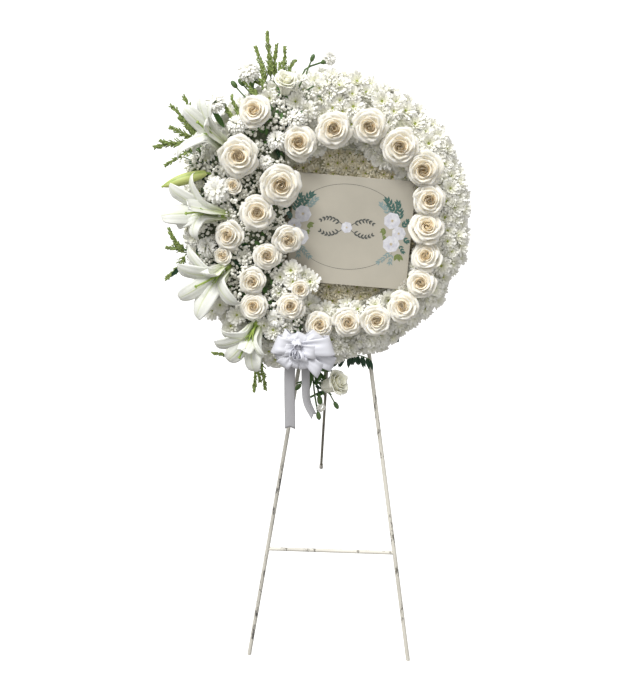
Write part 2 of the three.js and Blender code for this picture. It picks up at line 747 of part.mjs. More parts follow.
const pivot = new THREE.Vector3(0, EASEL.pivotBack, EASEL.legTop);
const rearFoot = new THREE.Vector3(...EASEL.rearFoot, 0);
const rearAlong = rearFoot.clone().sub(pivot).normalize();
const pivotAxis = new THREE.Vector3(-rearAlong.y, rearAlong.x, 0).normalize().negate();
const rearOut = pivotAxis.clone().cross(rearAlong).normalize();
const rearTurn = new THREE.Quaternion().setFromRotationMatrix(
  new THREE.Matrix4().makeBasis(pivotAxis, rearOut, rearAlong.clone().negate()),
);
// A point given from the pivot: along its axis, out from the rear leg's back and down the leg.
const byPivot = (across, out, along) =>
  pivot
    .clone()
    .addScaledVector(pivotAxis, across)
    .addScaledVector(rearOut, out)
    .addScaledVector(rearAlong, along);
const acrossBar = (half, radius, out = 0, along = 0) =>
  bar(byPivot(-half, out, along), byPivot(half, out, along), radius, 12);

function topBracket(legs) {
  const lean = new THREE.Quaternion().setFromAxisAngle(new THREE.Vector3(1, 0, 0), -EASEL.lean);
  const centre = onLeg(0, EASEL.legTop + 4).add(new THREE.Vector3(0, 1.7, 0));
  const head = block([38, 14.6, 44], centre, lean);
  const ears = [-7.2, 7.2].map((side) => block([4, 32, 34], byPivot(side, -6, 7), rearTurn));
  const stop = acrossBar(7, 2, EASEL.rearRadius + 2.4, 17);
  const bores = acrossBar(20, EASEL.boltRadius + GAP);
  const whole = join(head, ...ears, stop).subtract(bores);
  // The folding leg's eye needs room in front of it too.
  const room = acrossBar(5, 10.5);
  return fittedRound(whole.subtract(room), legs);
}

// The plastic cap on the folding leg's foot.
const REAR_CAP = { length: 22, wall: 1.6 };
function rearCap() {
  const foot = rearFoot.clone().addScaledVector(rearAlong, 20);
  const top = rearFoot.clone().addScaledVector(rearAlong, -REAR_CAP.length);
  const sleeve = bar(top, foot, EASEL.rearRadius + GAP + REAR_CAP.wall, 12);
  const bore = bar(
    top.clone().addScaledVector(rearAlong, -5),
    rearFoot.clone().addScaledVector(rearAlong, -3),
    EASEL.rearRadius + GAP + 0.2,
    12,
  );
  return sleeve.subtract(bore).subtract(floor);
}

function rearLeg() {
  const tube = bar(byPivot(0, 0, 4), rearFoot.clone().addScaledVector(rearAlong, -3.6), EASEL.rearRadius, 12);
  const eye = acrossBar(4.6, 9);
  return join(tube, eye).subtract(acrossBar(20, EASEL.boltRadius + GAP));
}

function pivotBolt() {
  const shank = acrossBar(13, EASEL.boltRadius);
  const head = bar(byPivot(9.6, 0, 0), byPivot(14, 0, 0), 5.5, 6);
  const nut = bar(byPivot(-14, 0, 0), byPivot(-9.6, 0, 0), 5.5, 6);
  return join(shank, head, nut);
}

// Cuts room for the neighbours out of a solid and keeps its largest piece.
function fittedRound(solid, neighbours) {
  return largest(neighbours.reduce((left, other) => left.subtract(inflated(other)), solid));
}

function crossBar(legs) {
  const [left, right] = [onLeg(-1, EASEL.barHeight), onLeg(1, EASEL.barHeight)];
  return fittedRound(bar(left, right, EASEL.barRadius, 10), legs);
}

const easel = new THREE.Group();
const legs = [frontLeg(-1), frontLeg(1)];
easel.add(meshOf("leg_front_left", legs[0], FINISH.paint));
easel.add(meshOf("leg_front_right", legs[1], FINISH.paint));
easel.add(meshOf("leg_rear", rearLeg(), FINISH.paint));
easel.add(meshOf("cross_bar", crossBar(legs), FINISH.paint));
easel.add(meshOf("top_bracket", topBracket(legs), FINISH.paint));
easel.add(meshOf("foot_cap_rear", rearCap(), FINISH.foam));
easel.add(meshOf("pivot_bolt", pivotBolt(), FINISH.steel));

// ---------------------------------------------------------------- the whole, centred over its footprint
const whole = new THREE.Group();
whole.add(easel, wreath);
whole.updateMatrixWorld(true);
const bounds = new THREE.Box3().setFromObject(whole, true);
const middle = bounds.getCenter(new THREE.Vector3());
whole.position.set(-middle.x, -middle.y, -bounds.min.z);

const object = new THREE.Group();
object.add(whole);
export default object;
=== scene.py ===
import math
import random

import bmesh
import bpy
from bpy.props import FloatProperty, FloatVectorProperty, IntProperty, PointerProperty
from bpy.types import Operator, Panel, PropertyGroup
from mathutils import Matrix, Vector, noise


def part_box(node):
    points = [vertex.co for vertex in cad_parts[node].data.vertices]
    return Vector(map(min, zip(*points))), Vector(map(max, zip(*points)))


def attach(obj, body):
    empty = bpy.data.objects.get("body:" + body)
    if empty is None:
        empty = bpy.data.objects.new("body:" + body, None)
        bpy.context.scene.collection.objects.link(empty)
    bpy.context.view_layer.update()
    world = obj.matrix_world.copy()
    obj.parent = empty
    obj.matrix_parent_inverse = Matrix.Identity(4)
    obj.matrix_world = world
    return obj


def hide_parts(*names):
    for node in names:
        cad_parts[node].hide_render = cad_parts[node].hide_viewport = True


bl_info = {
    "name": "Sympathy wreath on an easel",
    "version": (1, 0, 0),
    "blender": (4, 5, 0),
    "location": "View3D > Sidebar > Wreath",
    "description": "Dresses a standing funeral wreath with flowers, foliage, ribbon, card and paint",
    "category": "Object",
}

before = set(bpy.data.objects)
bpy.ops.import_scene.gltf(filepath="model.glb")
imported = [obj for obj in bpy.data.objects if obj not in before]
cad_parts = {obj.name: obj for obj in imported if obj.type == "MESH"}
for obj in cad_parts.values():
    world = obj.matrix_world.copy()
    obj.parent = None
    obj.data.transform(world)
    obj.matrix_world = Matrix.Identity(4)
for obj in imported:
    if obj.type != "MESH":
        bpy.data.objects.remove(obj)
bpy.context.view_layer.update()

WREATH = "front_frame_and_wreath"
LEG = "folding_leg"
MM = 0.001
TURN = 2 * math.pi
Z = Vector((0, 0, 1))
BOARD_MIDDLE = 9 * MM  # from the plane of the easel to the middle of the backing board


# ---------------------------------------------------------------- the wreath's own axes
def board_axes():
    """The wreath's centre on the easel's plane, its right, its up and the way that it faces."""
    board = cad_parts["backing_board"].data
    forward = [p for p in board.polygons if p.normal.y < -0.5]
    out = max(forward, key=lambda p: p.area).normal.normalized()
    across = Vector((1, 0, 0))
    up = out.cross(across).normalized()
    low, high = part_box("backing_board")
    return (low + high) / 2 - out * BOARD_MIDDLE, across, up, out


CENTRE, ACROSS, UP, OUT = board_axes()


def way(u, v, w):
    """A direction given as right, up and forward on the wreath."""
    return (ACROSS * u + UP * v + OUT * w).normalized()


def at(u, v, w):
    """A place on the wreath given in millimetres right, up and forward of its centre."""
    return CENTRE + (ACROSS * u + UP * v + OUT * w) * MM


def on_wreath(point):
    """A point's right, up and forward places on the wreath, in millimetres."""
    offset = (point - CENTRE) / MM
    return offset.dot(ACROSS), offset.dot(UP), offset.dot(OUT)


def facing(right, up):
    """The way a flower faces that is tipped right and up by these degrees."""
    a, b = math.radians(right), math.radians(up)
    return way(math.sin(a) * math.cos(b), math.sin(b), math.cos(a) * math.cos(b))


def stand_on(point, direction, spin=0.0, size=1.0):
    """The matrix that sets a shape made along +Z on a point, along a direction."""
    turn = direction.to_track_quat("Z", "Y").to_matrix().to_4x4()
    return Matrix.Translation(point) @ turn @ Matrix.Rotation(spin, 4, "Z") @ Matrix.Scale(size, 4)


# Roses: node, then right, up and height on the wreath, diameter, and how far each is tipped right and up.
ROSES = {
    "ring_rose_01": (-50, 160, 77, 68, 6, 4),
    "ring_rose_02": (22, 188, 77, 68, -4, 4),
    "ring_rose_03": (95, 198, 77, 66, 0, -6),
    "ring_rose_04": (155, 158, 77, 72, -6, 0),
    "ring_rose_05": (208, 115, 77, 70, -10, -8),
    "ring_rose_06": (219, 51, 77, 62, -6, 2),
    "ring_rose_07": (214, -12, 77, 66, 0, 16),
    "ring_rose_08": (222, -68, 77, 58, -10, 12),
    "ring_rose_09": (213, -122, 77, 58, -6, 6),
    "ring_rose_10": (177, -172, 77, 60, -6, 8),
    "ring_rose_11": (116, -201, 77, 60, 0, 6),
    "ring_rose_12": (55, -207, 77, 58, 4, 8),
    "ring_rose_13": (-5, -216, 77, 56, 8, 8),
    "cluster_rose_01": (-136, 216, 97, 62, 0, 10),
    "cluster_rose_02": (-168, 132, 97, 76, 2, 4),
    "cluster_rose_03": (-90, 79, 98, 76, 6, -2),
    "cluster_rose_04": (-133, 20, 98, 66, 0, 2),
    "cluster_rose_05": (-186, -26, 97, 58, -6, 0),
    "cluster_rose_06": (-72, -30, 97, 56, 8, -4),
    "cluster_rose_07": (-113, -68, 99, 52, 2, 4),
    "cluster_rose_08": (-140, -119, 97, 52, 0, 0),
    "cluster_rose_09": (-136, -176, 97, 54, 0, 8),
    "cluster_rose_10": (-62, -174, 92, 54, 4, 4),
}

# Small roses tucked between the others, in the same terms.
SMALL_ROSES = {
    "small_rose_left": (-197, -67, 95, 46, -14, -6),
    "small_rose_upper": (-178, 73, 96, 44, -8, 2),
    "small_rose_lower": (-46, -139, 92, 46, 10, 6),
}

# Roses on loose stems: place, the way that each faces, diameter and the foot of its stem.
LOOSE_ROSES = {
    "top_rose": (at(-80, 263, 82), facing(8, 40), 58, at(-92, 240, 50)),
    "hanging_rose": (at(12, -352, 62), facing(56, 22), 70, at(14, -250, 46)),
}

# Lilies: where the tube starts, its mouth and the tip of its pistil, and then each petal's tip and width.
LILIES = {
    "lily_1": (
        ((-188, 140, 92), (-224, 174, 126), (-248, 196, 152)),
        (
            (-281, 226, 126, 33), (-246, 248, 118, 27), (-219, 236, 140, 27),
            (-228, 194, 152, 34), (-297, 126, 120, 31), (-262, 128, 106, 26),
        ),
    ),
    "lily_2": (
        ((-196, 12, 92), (-238, 20, 126), (-272, 17, 154)),
        (
            (-331, 9, 128, 44), (-315, 75, 116, 33), (-263, 99, 124, 31),
            (-266, 32, 158, 36), (-252, -37, 138, 36), (-298, -14, 110, 34),
        ),
    ),
    "lily_3": (
        ((-192, -92, 92), (-214, -111, 126), (-254, -131, 148)),
        (
            (-298, -88, 126, 38), (-297, -160, 120, 36), (-257, -203, 124, 46),
            (-164, -167, 138, 35), (-230, -96, 156, 34), (-276, -48, 110, 28),
        ),
    ),
    "lily_4": (
        ((-132, -208, 92), (-142, -233, 126), (-165, -278, 140)),
        (
            (-205, -221, 134, 29), (-222, -251, 122, 36), (-196, -288, 116, 40),
            (-131, -313, 122, 42), (-152, -258, 154, 34), (-109, -272, 138, 25),
        ),
    ),
}


# ---------------------------------------------------------------- settings
class WreathLooks(PropertyGroup):
    """Sizes and colours of the flowers, ribbon, card and stand."""

    rose_fullness: FloatProperty(
        name="Rose fullness", description="Open rose against its bud frame", default=1.05, min=0.8, max=1.3
    )
    rose_petal_thickness: FloatProperty(
        name="Rose petal", description="Thickness of a rose petal", default=0.5 * MM, unit="LENGTH"
    )
    lily_petal_thickness: FloatProperty(
        name="Lily petal", description="Thickness of a lily petal", default=0.9 * MM, unit="LENGTH"
    )
    chrysanthemum_radius: FloatProperty(
        name="Chrysanthemum", description="Radius of a head on the ring", default=22 * MM, unit="LENGTH"
    )
    chrysanthemum_spacing: FloatProperty(
        name="Chrysanthemum spacing",
        description="Least distance between two heads",
        default=21 * MM,
        unit="LENGTH",
    )
    breath_radius: FloatProperty(
        name="Small bloom", description="Radius of a baby's breath bloom", default=3.5 * MM, unit="LENGTH"
    )
    breath_sprays: IntProperty(
        name="Small sprays", description="Most sprays of baby's breath", default=620, min=0, max=2000
    )
    satin_thickness: FloatProperty(
        name="Satin", description="Thickness of the ribbon", default=0.3 * MM, unit="LENGTH"
    )
    ivory: FloatVectorProperty(
        name="Ivory", description="Rose petals", default=(0.95, 0.905, 0.78), subtype="COLOR", min=0, max=1
    )
    rose_heart: FloatVectorProperty(
        name="Rose heart", description="Rose heart", default=(0.88, 0.65, 0.31), subtype="COLOR", min=0, max=1
    )
    white: FloatVectorProperty(
        name="White", description="Lily petals", default=(0.80, 0.81, 0.745), subtype="COLOR", min=0, max=1
    )
    leaf: FloatVectorProperty(
        name="Leaf", description="Foliage", default=(0.075, 0.165, 0.040), subtype="COLOR", min=0, max=1
    )
    satin: FloatVectorProperty(
        name="Satin", description="Ribbon", default=(0.70, 0.705, 0.76), subtype="COLOR", min=0, max=1
    )
    card: FloatVectorProperty(
        name="Card", description="Card stock", default=(0.44, 0.41, 0.34), subtype="COLOR", min=0, max=1
    )
    paint: FloatVectorProperty(
        name="Paint", description="Stand paint", default=(0.73, 0.70, 0.62), subtype="COLOR", min=0, max=1
    )


def looks():
    """The settings."""
    return bpy.context.scene.wreath_looks


# ---------------------------------------------------------------- shader helpers
def rgba(colour):
    """A colour with full alpha."""
    return (*colour[:3], 1.0)


def scaled(colour, factor):
    """A colour made darker or lighter by a factor."""
    return tuple(min(1.0, c * factor) for c in colour[:3])


def add(tree, kind, inputs=None, **settings):
    """A shader node with its settings; each input is linked to a socket or set to a value or colour."""
    made = tree.nodes.new("ShaderNode" + kind)
    for key, value in settings.items():
        setattr(made, key, value)
    for key, value in (inputs or {}).items():
        socket = made.inputs[key]
        if isinstance(value, bpy.types.NodeSocket):
            tree.links.new(value, socket)
        else:
            socket.default_value = rgba(value) if socket.type == "RGBA" else value
    return made


def mixed(tree, factor, a, b, mode="MIX"):
    """The colour a turned towards b."""
    return add(tree, "Mix", {0: factor, 6: a, 7: b}, data_type="RGBA", blend_type=mode).outputs[2]


def maths(tree, operation, a, b=0.0, clamp=False):
    """One sum on values or sockets."""
    return add(tree, "Math", {0: a, 1: b}, operation=operation, use_clamp=clamp).outputs[0]


def times(tree, a, b):
    """The product of two values."""
    return maths(tree, "MULTIPLY", a, b)


def plus(tree, a, b):
    """The sum of two values."""
    return maths(tree, "ADD", a, b)


def ramp(tree, factor, *stops):
    """A grey ramp through two (place, value) stops."""
    made = add(tree, "ValToRGB", {0: factor})
    for element, (place, value) in zip(made.color_ramp.elements, stops):
        element.position, element.color = place, (value, value, value, 1)
    return made.outputs[0]


def grain(tree, place, scale, detail, roughness=0.5):
    """A noise value over places."""
    inputs = {"Vector": place, "Scale": scale, "Detail": detail, "Roughness": roughness}
    return add(tree, "TexNoise", inputs).outputs[0]


def shaded(tree, colour, value):
    """A colour darkened by a value."""
    grey = add(tree, "CombineColor", {0: value, 1: value, 2: value}).outputs[0]
    return mixed(tree, 1.0, colour, grey, "MULTIPLY")


def own_place(tree):
    """The place on the object, in metres."""
    return add(tree, "TexCoord").outputs["Object"]


def petal_place(tree):
    """How far across and along its petal, leaf or ribbon a point is, each from 0 to 1."""
    split = add(tree, "SeparateXYZ", {0: add(tree, "UVMap", uv_map="petal").outputs[0]}).outputs
    return split[0], split[1]


def petal_value(tree, name):
    """A value that each petal's points carry."""
    return add(tree, "Attribute", attribute_name=name).outputs["Fac"]


def from_midrib(tree, across):
    """The distance from the middle line, up to 0.5 at the edges."""
    return maths(tree, "ABSOLUTE", maths(tree, "SUBTRACT", across, 0.5))


def group(name, inputs, outputs, build):
    """A node group, made once: inputs by name with their defaults, and outputs that build returns."""
    if name in bpy.data.node_groups:
        return bpy.data.node_groups[name]
    tree = bpy.data.node_groups.new(name, "ShaderNodeTree")
    for label, default in inputs.items():
        kind = "NodeSocketFloat" if isinstance(default, float) else "NodeSocketColor"
        tree.interface.new_socket(label, in_out="INPUT", socket_type=kind).default_value = default
    for label in outputs:
        kind = "NodeSocketColor" if label == "Colour" else "NodeSocketFloat"
        tree.interface.new_socket(label, in_out="OUTPUT", socket_type=kind)
    source = tree.nodes.new("NodeGroupInput")
    sink = tree.nodes.new("NodeGroupOutput")
    for socket, value in zip(sink.inputs, build(tree, source.outputs)):
        tree.links.new(value, socket)
    return tree


def placed(tree, shared, inputs):
    """The outputs of a node group placed in a material with its own inputs."""
    return add(tree, "Group", inputs, node_tree=shared).outputs


def petal_effect():
    """Colour and veins of a petal: heart colour inside, paler rim, veins that run along it."""

    def build(tree, given):
        across, along = petal_place(tree)
        tone, heart = petal_value(tree, "tone"), petal_value(tree, "heart")
        fine = times(tree, across, given["Veins"])
        drawn = add(tree, "CombineXYZ", {0: fine, 1: times(tree, along, 2.2), 2: times(tree, tone, 40.0)})
        veins = grain(tree, drawn.outputs[0], 1.0, 3.0, 0.6)
        blotch = ramp(tree, grain(tree, own_place(tree), 60.0, 4.0, 0.6), (0.38, 0), (0.7, 1))
        base = mixed(tree, heart, given["Colour"], given["Heart colour"])
        base = mixed(tree, times(tree, blotch, 0.35), base, given["Blush"])
        rim = times(tree, ramp(tree, along, (0.72, 0), (1.0, 1)), 0.55)
        rim = times(tree, rim, maths(tree, "SUBTRACT", 1.0, heart, clamp=True))
        base = mixed(tree, rim, base, given["Rim"])
        shade = plus(tree, 0.96, times(tree, veins, 0.08))
        shade = times(tree, shade, plus(tree, 0.93, times(tree, tone, 0.09)))
        return shaded(tree, base, shade), veins

    inputs = {
        "Colour": (0.8, 0.8, 0.8, 1),
        "Heart colour": (0.6, 0.4, 0.2, 1),
        "Blush": (0.8, 0.7, 0.6, 1),
        "Rim": (0.9, 0.9, 0.9, 1),
        "Veins": 20.0,
    }
    return group("petal effect", inputs, ("Colour", "Height"), build)


def mottle_effect():
    """Two colours blended in soft patches over a finer grain."""

    def build(tree, given):
        place = own_place(tree)
        patches = ramp(tree, grain(tree, place, given["Scale"], 6.0, 0.62), (0.36, 0), (0.64, 1))
        fine = grain(tree, place, times(tree, given["Scale"], 7.0), 4.0)
        colour = mixed(tree, times(tree, patches, given["Amount"]), given["Colour"], given["Second"])
        return shaded(tree, colour, plus(tree, 0.88, times(tree, fine, 0.22))), fine

    inputs = {"Colour": (0.8, 0.8, 0.8, 1), "Second": (0.5, 0.5, 0.5, 1), "Scale": 40.0, "Amount": 1.0}
    return group("mottle effect", inputs, ("Colour", "Height"), build)


def chipped_effect():
    """Brushed paint that has chipped and rubbed through to a darker coat."""

    def build(tree, given):
        place = own_place(tree)
        stretched = add(tree, "Mapping", {"Vector": place, "Scale": (1.0, 1.0, 0.35)}).outputs[0]
        coarse = grain(tree, stretched, 60.0, 8.0, 0.72)
        chips = ramp(tree, coarse, (0.55, 0), (0.60, 1))
        chips = maths(tree, "MULTIPLY", chips, given["Amount"], clamp=True)
        rubbed = times(tree, ramp(tree, grain(tree, place, 9.0, 3.0), (0.4, 0), (0.75, 1)), 0.7)
        colour = mixed(tree, rubbed, given["Colour"], given["Grime"])
        return mixed(tree, chips, colour, given["Under"]), chips, coarse

    inputs = {
        "Colour": (0.8, 0.8, 0.8, 1),
        "Grime": (0.5, 0.5, 0.5, 1),
        "Under": (0.2, 0.15, 0.1, 1),
        "Amount": 1.0,
    }
    return group("chipped paint effect", inputs, ("Colour", "Chips", "Height"), build)


# ---------------------------------------------------------------- materials
def new_material(name, build):
    """A Principled material made once; build links what it needs to the shader's sockets."""
    if name in bpy.data.materials:
        return bpy.data.materials[name]
    made = bpy.data.materials.new(name)
    made.use_nodes = True
    build(made.node_tree, made.node_tree.nodes["Principled BSDF"])
    return made


def settle(shader, values):
    """Sets a shader's constant sockets."""
    for name, value in values.items():
        shader.inputs[name].default_value = value


def let_glow(shader, weight, radius):
    """Lets some light through a petal."""
    settle(shader, {"Subsurface Weight": weight, "Subsurface Radius": radius, "Subsurface Scale": 4 * MM})


def link_bump(tree, shader, height, strength, distance):
    """Small relief on a shader's surface."""
    bump = add(tree, "Bump", {"Strength": strength, "Distance": distance, "Height": height})
    tree.links.new(bump.outputs[0], shader.inputs["Normal"])


def petal_material(name, colour, heart, blush, rim, veins, roughness, bump, sheen, glow=0.0):
    """A material for petals and leaves, from the petal effect."""

    def build(tree, shader):
        colours = {"Colour": colour, "Heart colour": heart, "Blush": blush, "Rim": rim, "Veins": veins}
        painted, height = placed(tree, petal_effect(), colours)
        tree.links.new(painted, shader.inputs["Base Color"])
        settle(shader, {"Roughness": roughness, "Sheen Weight": sheen, "Specular IOR Level": 0.3})
        if glow:
            let_glow(shader, glow, (1.0, 0.85, 0.6))
        link_bump(tree, shader, height, bump, 0.6 * MM)

    return new_material(name, build)


def mottled_material(
    name, colour, second, scale, amount=1.0, roughness=0.7, bump=0.3, depth=1.0, metallic=0.0
):
    """A material of two colours in patches; scale is in patches per metre, and depth in millimetres."""

    def build(tree, shader):
        colours = {"Colour": colour, "Second": second, "Scale": scale, "Amount": amount}
        painted, height = placed(tree, mottle_effect(), colours)
        tree.links.new(painted, shader.inputs["Base Color"])
        settle(shader, {"Roughness": roughness, "Metallic": metallic})
        link_bump(tree, shader, height, bump, depth * MM)

    return new_material(name, build)


def rose_petal():
    """Ivory with a tan heart, blushed in patches."""
    s = looks()
    blush, rim = (0.94, 0.85, 0.66), (0.97, 0.945, 0.87)
    return petal_material(
        "rose petal", s.ivory, s.rose_heart, blush, rim, veins=26.0, roughness=0.5,
        bump=0.3, sheen=0.1, glow=0.25,
    )


def pale_petal():
    """The greener cream of the two loose roses."""
    colour, heart, blush, rim = (0.93, 0.92, 0.78), (0.86, 0.82, 0.46), (0.88, 0.89, 0.66), (0.96, 0.95, 0.87)
    return petal_material(
        "pale rose petal", colour, heart, blush, rim, veins=26.0, roughness=0.5,
        bump=0.3, sheen=0.2, glow=0.12,
    )


def lily_petal():
    """White, with a yellow-green midrib that runs out from the throat and a green flush deep inside."""

    def build(tree, shader):
        throat, blush, rim = (0.46, 0.56, 0.12), (0.82, 0.83, 0.74), (0.90, 0.90, 0.88)
        colours = {"Colour": looks().white, "Heart colour": throat, "Blush": blush, "Rim": rim, "Veins": 30.0}
        painted, height = placed(tree, petal_effect(), colours)
        across, along = petal_place(tree)
        aside = from_midrib(tree, across)
        rib = ramp(tree, aside, (0.0, 1), (0.055, 0))
        wash = times(tree, ramp(tree, aside, (0.0, 1), (0.22, 0)), 0.16)
        fade = ramp(tree, along, (0.1, 1), (0.97, 0.12))
        mask = maths(tree, "MULTIPLY", plus(tree, times(tree, rib, 0.75), wash), fade, clamp=True)
        tree.links.new(mixed(tree, mask, painted, (0.52, 0.60, 0.16)), shader.inputs["Base Color"])
        settle(shader, {"Roughness": 0.42})
        let_glow(shader, 0.1, (1.0, 1.0, 0.7))
        link_bump(tree, shader, plus(tree, height, rib), 0.55, 1.0 * MM)

    return new_material("lily petal", build)


def lily_bud_skin():
    """Green-yellow, greener along its seams."""
    colour, seam, blush, rim = (0.60, 0.66, 0.22), (0.22, 0.34, 0.05), (0.66, 0.70, 0.34), (0.30, 0.38, 0.08)
    return petal_material(
        "lily bud", colour, seam, blush, rim, veins=16.0, roughness=0.4, bump=0.4, sheen=0.1, glow=0.1
    )


def lily_green():
    """The pistil and stem of a lily."""
    return mottled_material(
        "lily green", (0.40, 0.50, 0.10), (0.24, 0.38, 0.07), 120.0, roughness=0.45, depth=0.6
    )


def chrysanthemum_petal():
    """White with a faint green root."""
    colour, root, blush, rim = (0.98, 0.97, 0.91), (0.90, 0.91, 0.60), (0.96, 0.95, 0.85), (0.99, 0.985, 0.96)
    return petal_material(
        "chrysanthemum petal", colour, root, blush, rim, veins=8.0, roughness=0.6, bump=0.2, sheen=0.1
    )


def centre_petal():
    """The duller, darker cream of the heads in the sunken centre, partly painted shade of the recess."""
    colour, root, blush, rim = (0.93, 0.88, 0.72), (0.74, 0.66, 0.36), (0.84, 0.77, 0.56), (0.95, 0.92, 0.81)
    return petal_material(
        "centre chrysanthemum petal", colour, root, blush, rim, veins=8.0,
        roughness=0.65, bump=0.25, sheen=0.1,
    )


def carnation_petal():
    """Soft white, a little green at the root."""
    colour, root, blush, rim = (0.94, 0.93, 0.87), (0.86, 0.84, 0.62), (0.90, 0.90, 0.82), (0.95, 0.95, 0.94)
    return petal_material(
        "carnation petal", colour, root, blush, rim, veins=30.0, roughness=0.6, bump=0.35, sheen=0.1
    )


def leaf_green():
    """Mid green leaves."""
    colour, rib, blush, rim = looks().leaf, (0.09, 0.17, 0.045), (0.085, 0.17, 0.05), (0.075, 0.15, 0.04)
    return petal_material("leaf", colour, rib, blush, rim, veins=14.0, roughness=0.42, bump=0.5, sheen=0.0)


def dark_leaf():
    """Dark, waxy leaves."""
    colour, rib = (0.012, 0.045, 0.022), (0.03, 0.08, 0.03)
    blush, rim = (0.02, 0.06, 0.03), (0.02, 0.065, 0.03)
    return petal_material(
        "dark leaf", colour, rib, blush, rim, veins=18.0, roughness=0.35, bump=0.5, sheen=0.0
    )


def small_bloom():
    """Baby's breath."""
    return mottled_material(
        "small bloom", (0.98, 0.97, 0.90), (0.89, 0.88, 0.78), 220.0, amount=0.7, bump=0.4
    )


def sprig_green():
    """Yellow-green feathery sprigs."""
    return mottled_material(
        "sprig green", (0.34, 0.41, 0.12), (0.12, 0.19, 0.045), 300.0, roughness=0.6, bump=0.5
    )


def stem_green():
    """Stems, buds and the tubes under carnations."""
    return mottled_material(
        "stem green", (0.055, 0.12, 0.030), (0.12, 0.19, 0.055), 90.0, roughness=0.5, depth=0.5
    )


def eye_green():
    """The dome in the middle of a chrysanthemum."""
    return mottled_material(
        "flower eye", (0.44, 0.48, 0.10), (0.26, 0.34, 0.06), 260.0, roughness=0.8, bump=0.6, depth=0.8
    )


def satin_material():
    """White satin: fine weft threads across the ribbon, firmer edges and a soft sheen, greyed as painted
    shade where the tone value is low.
    """

    def build(tree, shader):
        satin = looks().satin
        across, along = petal_place(tree)
        threads = add(tree, "CombineXYZ", {0: times(tree, across, 6.0), 1: times(tree, along, 420.0)})
        weave = grain(tree, threads.outputs[0], 1.0, 2.0)
        cloud = grain(tree, own_place(tree), 28.0, 3.0)
        edge = ramp(tree, from_midrib(tree, across), (0.45, 0), (0.475, 1))
        colour = mixed(tree, times(tree, cloud, 0.5), satin, scaled(satin, 1.09))
        colour = mixed(tree, times(tree, edge, 0.3), colour, (0.80, 0.80, 0.84))
        # Painted shade: a greyed copy of the satin, shown where the tone value is low, most of all on the
        # tails.
        shadow = mixed(tree, 1.0, colour, (0.54, 0.53, 0.50), "MULTIPLY")
        tree.links.new(mixed(tree, petal_value(tree, "tone"), shadow, colour), shader.inputs["Base Color"])
        tree.links.new(plus(tree, 0.34, times(tree, weave, 0.16)), shader.inputs["Roughness"])
        settle(shader, {"Sheen Weight": 0.1, "Specular IOR Level": 0.55})
        link_bump(tree, shader, plus(tree, times(tree, weave, 0.5), edge), 0.18, 0.4 * MM)

    return new_material("satin ribbon", build)


def card_material():
    """Laminated card: cream stock with faint clouding, fibres and a soft gloss that varies."""

    def build(tree, shader):
        card = looks().card
        place = own_place(tree)
        cloud = grain(tree, place, 7.0, 5.0, 0.55)
        fibre = grain(tree, place, 900.0, 2.0)
        colour = mixed(tree, ramp(tree, cloud, (0.35, 0), (0.7, 1)), scaled(card, 0.93), scaled(card, 1.1))
        colour = shaded(tree, colour, plus(tree, 0.965, times(tree, fibre, 0.06)))
        tree.links.new(colour, shader.inputs["Base Color"])
        tree.links.new(plus(tree, 0.34, times(tree, cloud, 0.2)), shader.inputs["Roughness"])
        link_bump(tree, shader, plus(tree, fibre, times(tree, cloud, 6.0)), 0.1, 0.6 * MM)

    return new_material("card stock", build)


def print_material(name, colour, second, scale):
    """A printed colour on the card."""
    return mottled_material(name, colour, second, scale, roughness=0.5, bump=0.05, depth=0.2)


def paint_material(name, colour, grime, under, amount):
    """Brushed paint that has chipped, rougher where it is bare."""

    def build(tree, shader):
        colours = {"Colour": colour, "Grime": grime, "Under": under, "Amount": amount}
        painted, chips, height = placed(tree, chipped_effect(), colours)
        tree.links.new(painted, shader.inputs["Base Color"])
        tree.links.new(plus(tree, 0.45, times(tree, chips, 0.3)), shader.inputs["Roughness"])
        level = maths(tree, "SUBTRACT", times(tree, height, 0.3), chips)
        link_bump(tree, shader, level, 0.5, 0.4 * MM)

    return new_material(name, build)


# ---------------------------------------------------------------- mesh helpers
def new_bm():
    """An empty mesh with the petal layers: a UV map across and along, and heart and tone values."""
    bm = bmesh.new()
    bm.loops.layers.uv.new("petal")
    bm.verts.layers.float.new("heart")
    bm.verts.layers.float.new("tone")
    return bm


def sheet(bm, columns, rows, place, heart=lambda s, t: 0.0, tone=0.5, slot=0):
    """A sheet of faces: place gives its point for s, from -1 to 1 across, and t, from 0 to 1 along."""
    verts = bmesh.ops.create_grid(bm, x_segments=columns, y_segments=rows, size=1.0)["verts"]
    uv = bm.loops.layers.uv["petal"]
    hearts, tones = bm.verts.layers.float["heart"], bm.verts.layers.float["tone"]
    spots = {v: (v.co.x, (v.co.y + 1) / 2) for v in verts}
    for v, (s, t) in spots.items():
        v.co = place(s, t)
        v[hearts], v[tones] = heart(s, t), tone
    for face in {f for v in verts for f in v.link_faces}:
        face.smooth, face.material_index = True, slot
        for loop in face.loops:
            s, t = spots[loop.vert]
            loop[uv].uv = ((s + 1) / 2, t)


def finish_faces(bm, verts, slot, tone):
    """Sets the slot, smoothing and tone of newly made vertices."""
    tones = bm.verts.layers.float["tone"]
    for v in verts:
        v[tones] = tone
        for face in v.link_faces:
            face.material_index, face.smooth = slot, True


def rod(bm, points, radius, sides=6, slot=0):
    """A round stem through points, closed at both ends; radius is one value, or one for each point."""
    radii = radius if isinstance(radius, list) else [radius] * len(points)
    rings = []
    for i, point in enumerate(points):
        before, after = points[max(i - 1, 0)], points[min(i + 1, len(points) - 1)]
        matrix = stand_on(point, after - before)
        rings.append(bmesh.ops.create_circle(bm, segments=sides, radius=radii[i], matrix=matrix)["verts"])
    for a, b in zip(rings, rings[1:]):
        edges = {e for ring in (a, b) for v in ring for e in v.link_edges if e.other_vert(v) in ring}
        bmesh.ops.bridge_loops(bm, edges=list(edges))
    for ring in (rings[0], rings[-1]):
        bmesh.ops.contextual_create(bm, geom=ring)
    finish_faces(bm, [v for ring in rings for v in ring], slot, 0.5)


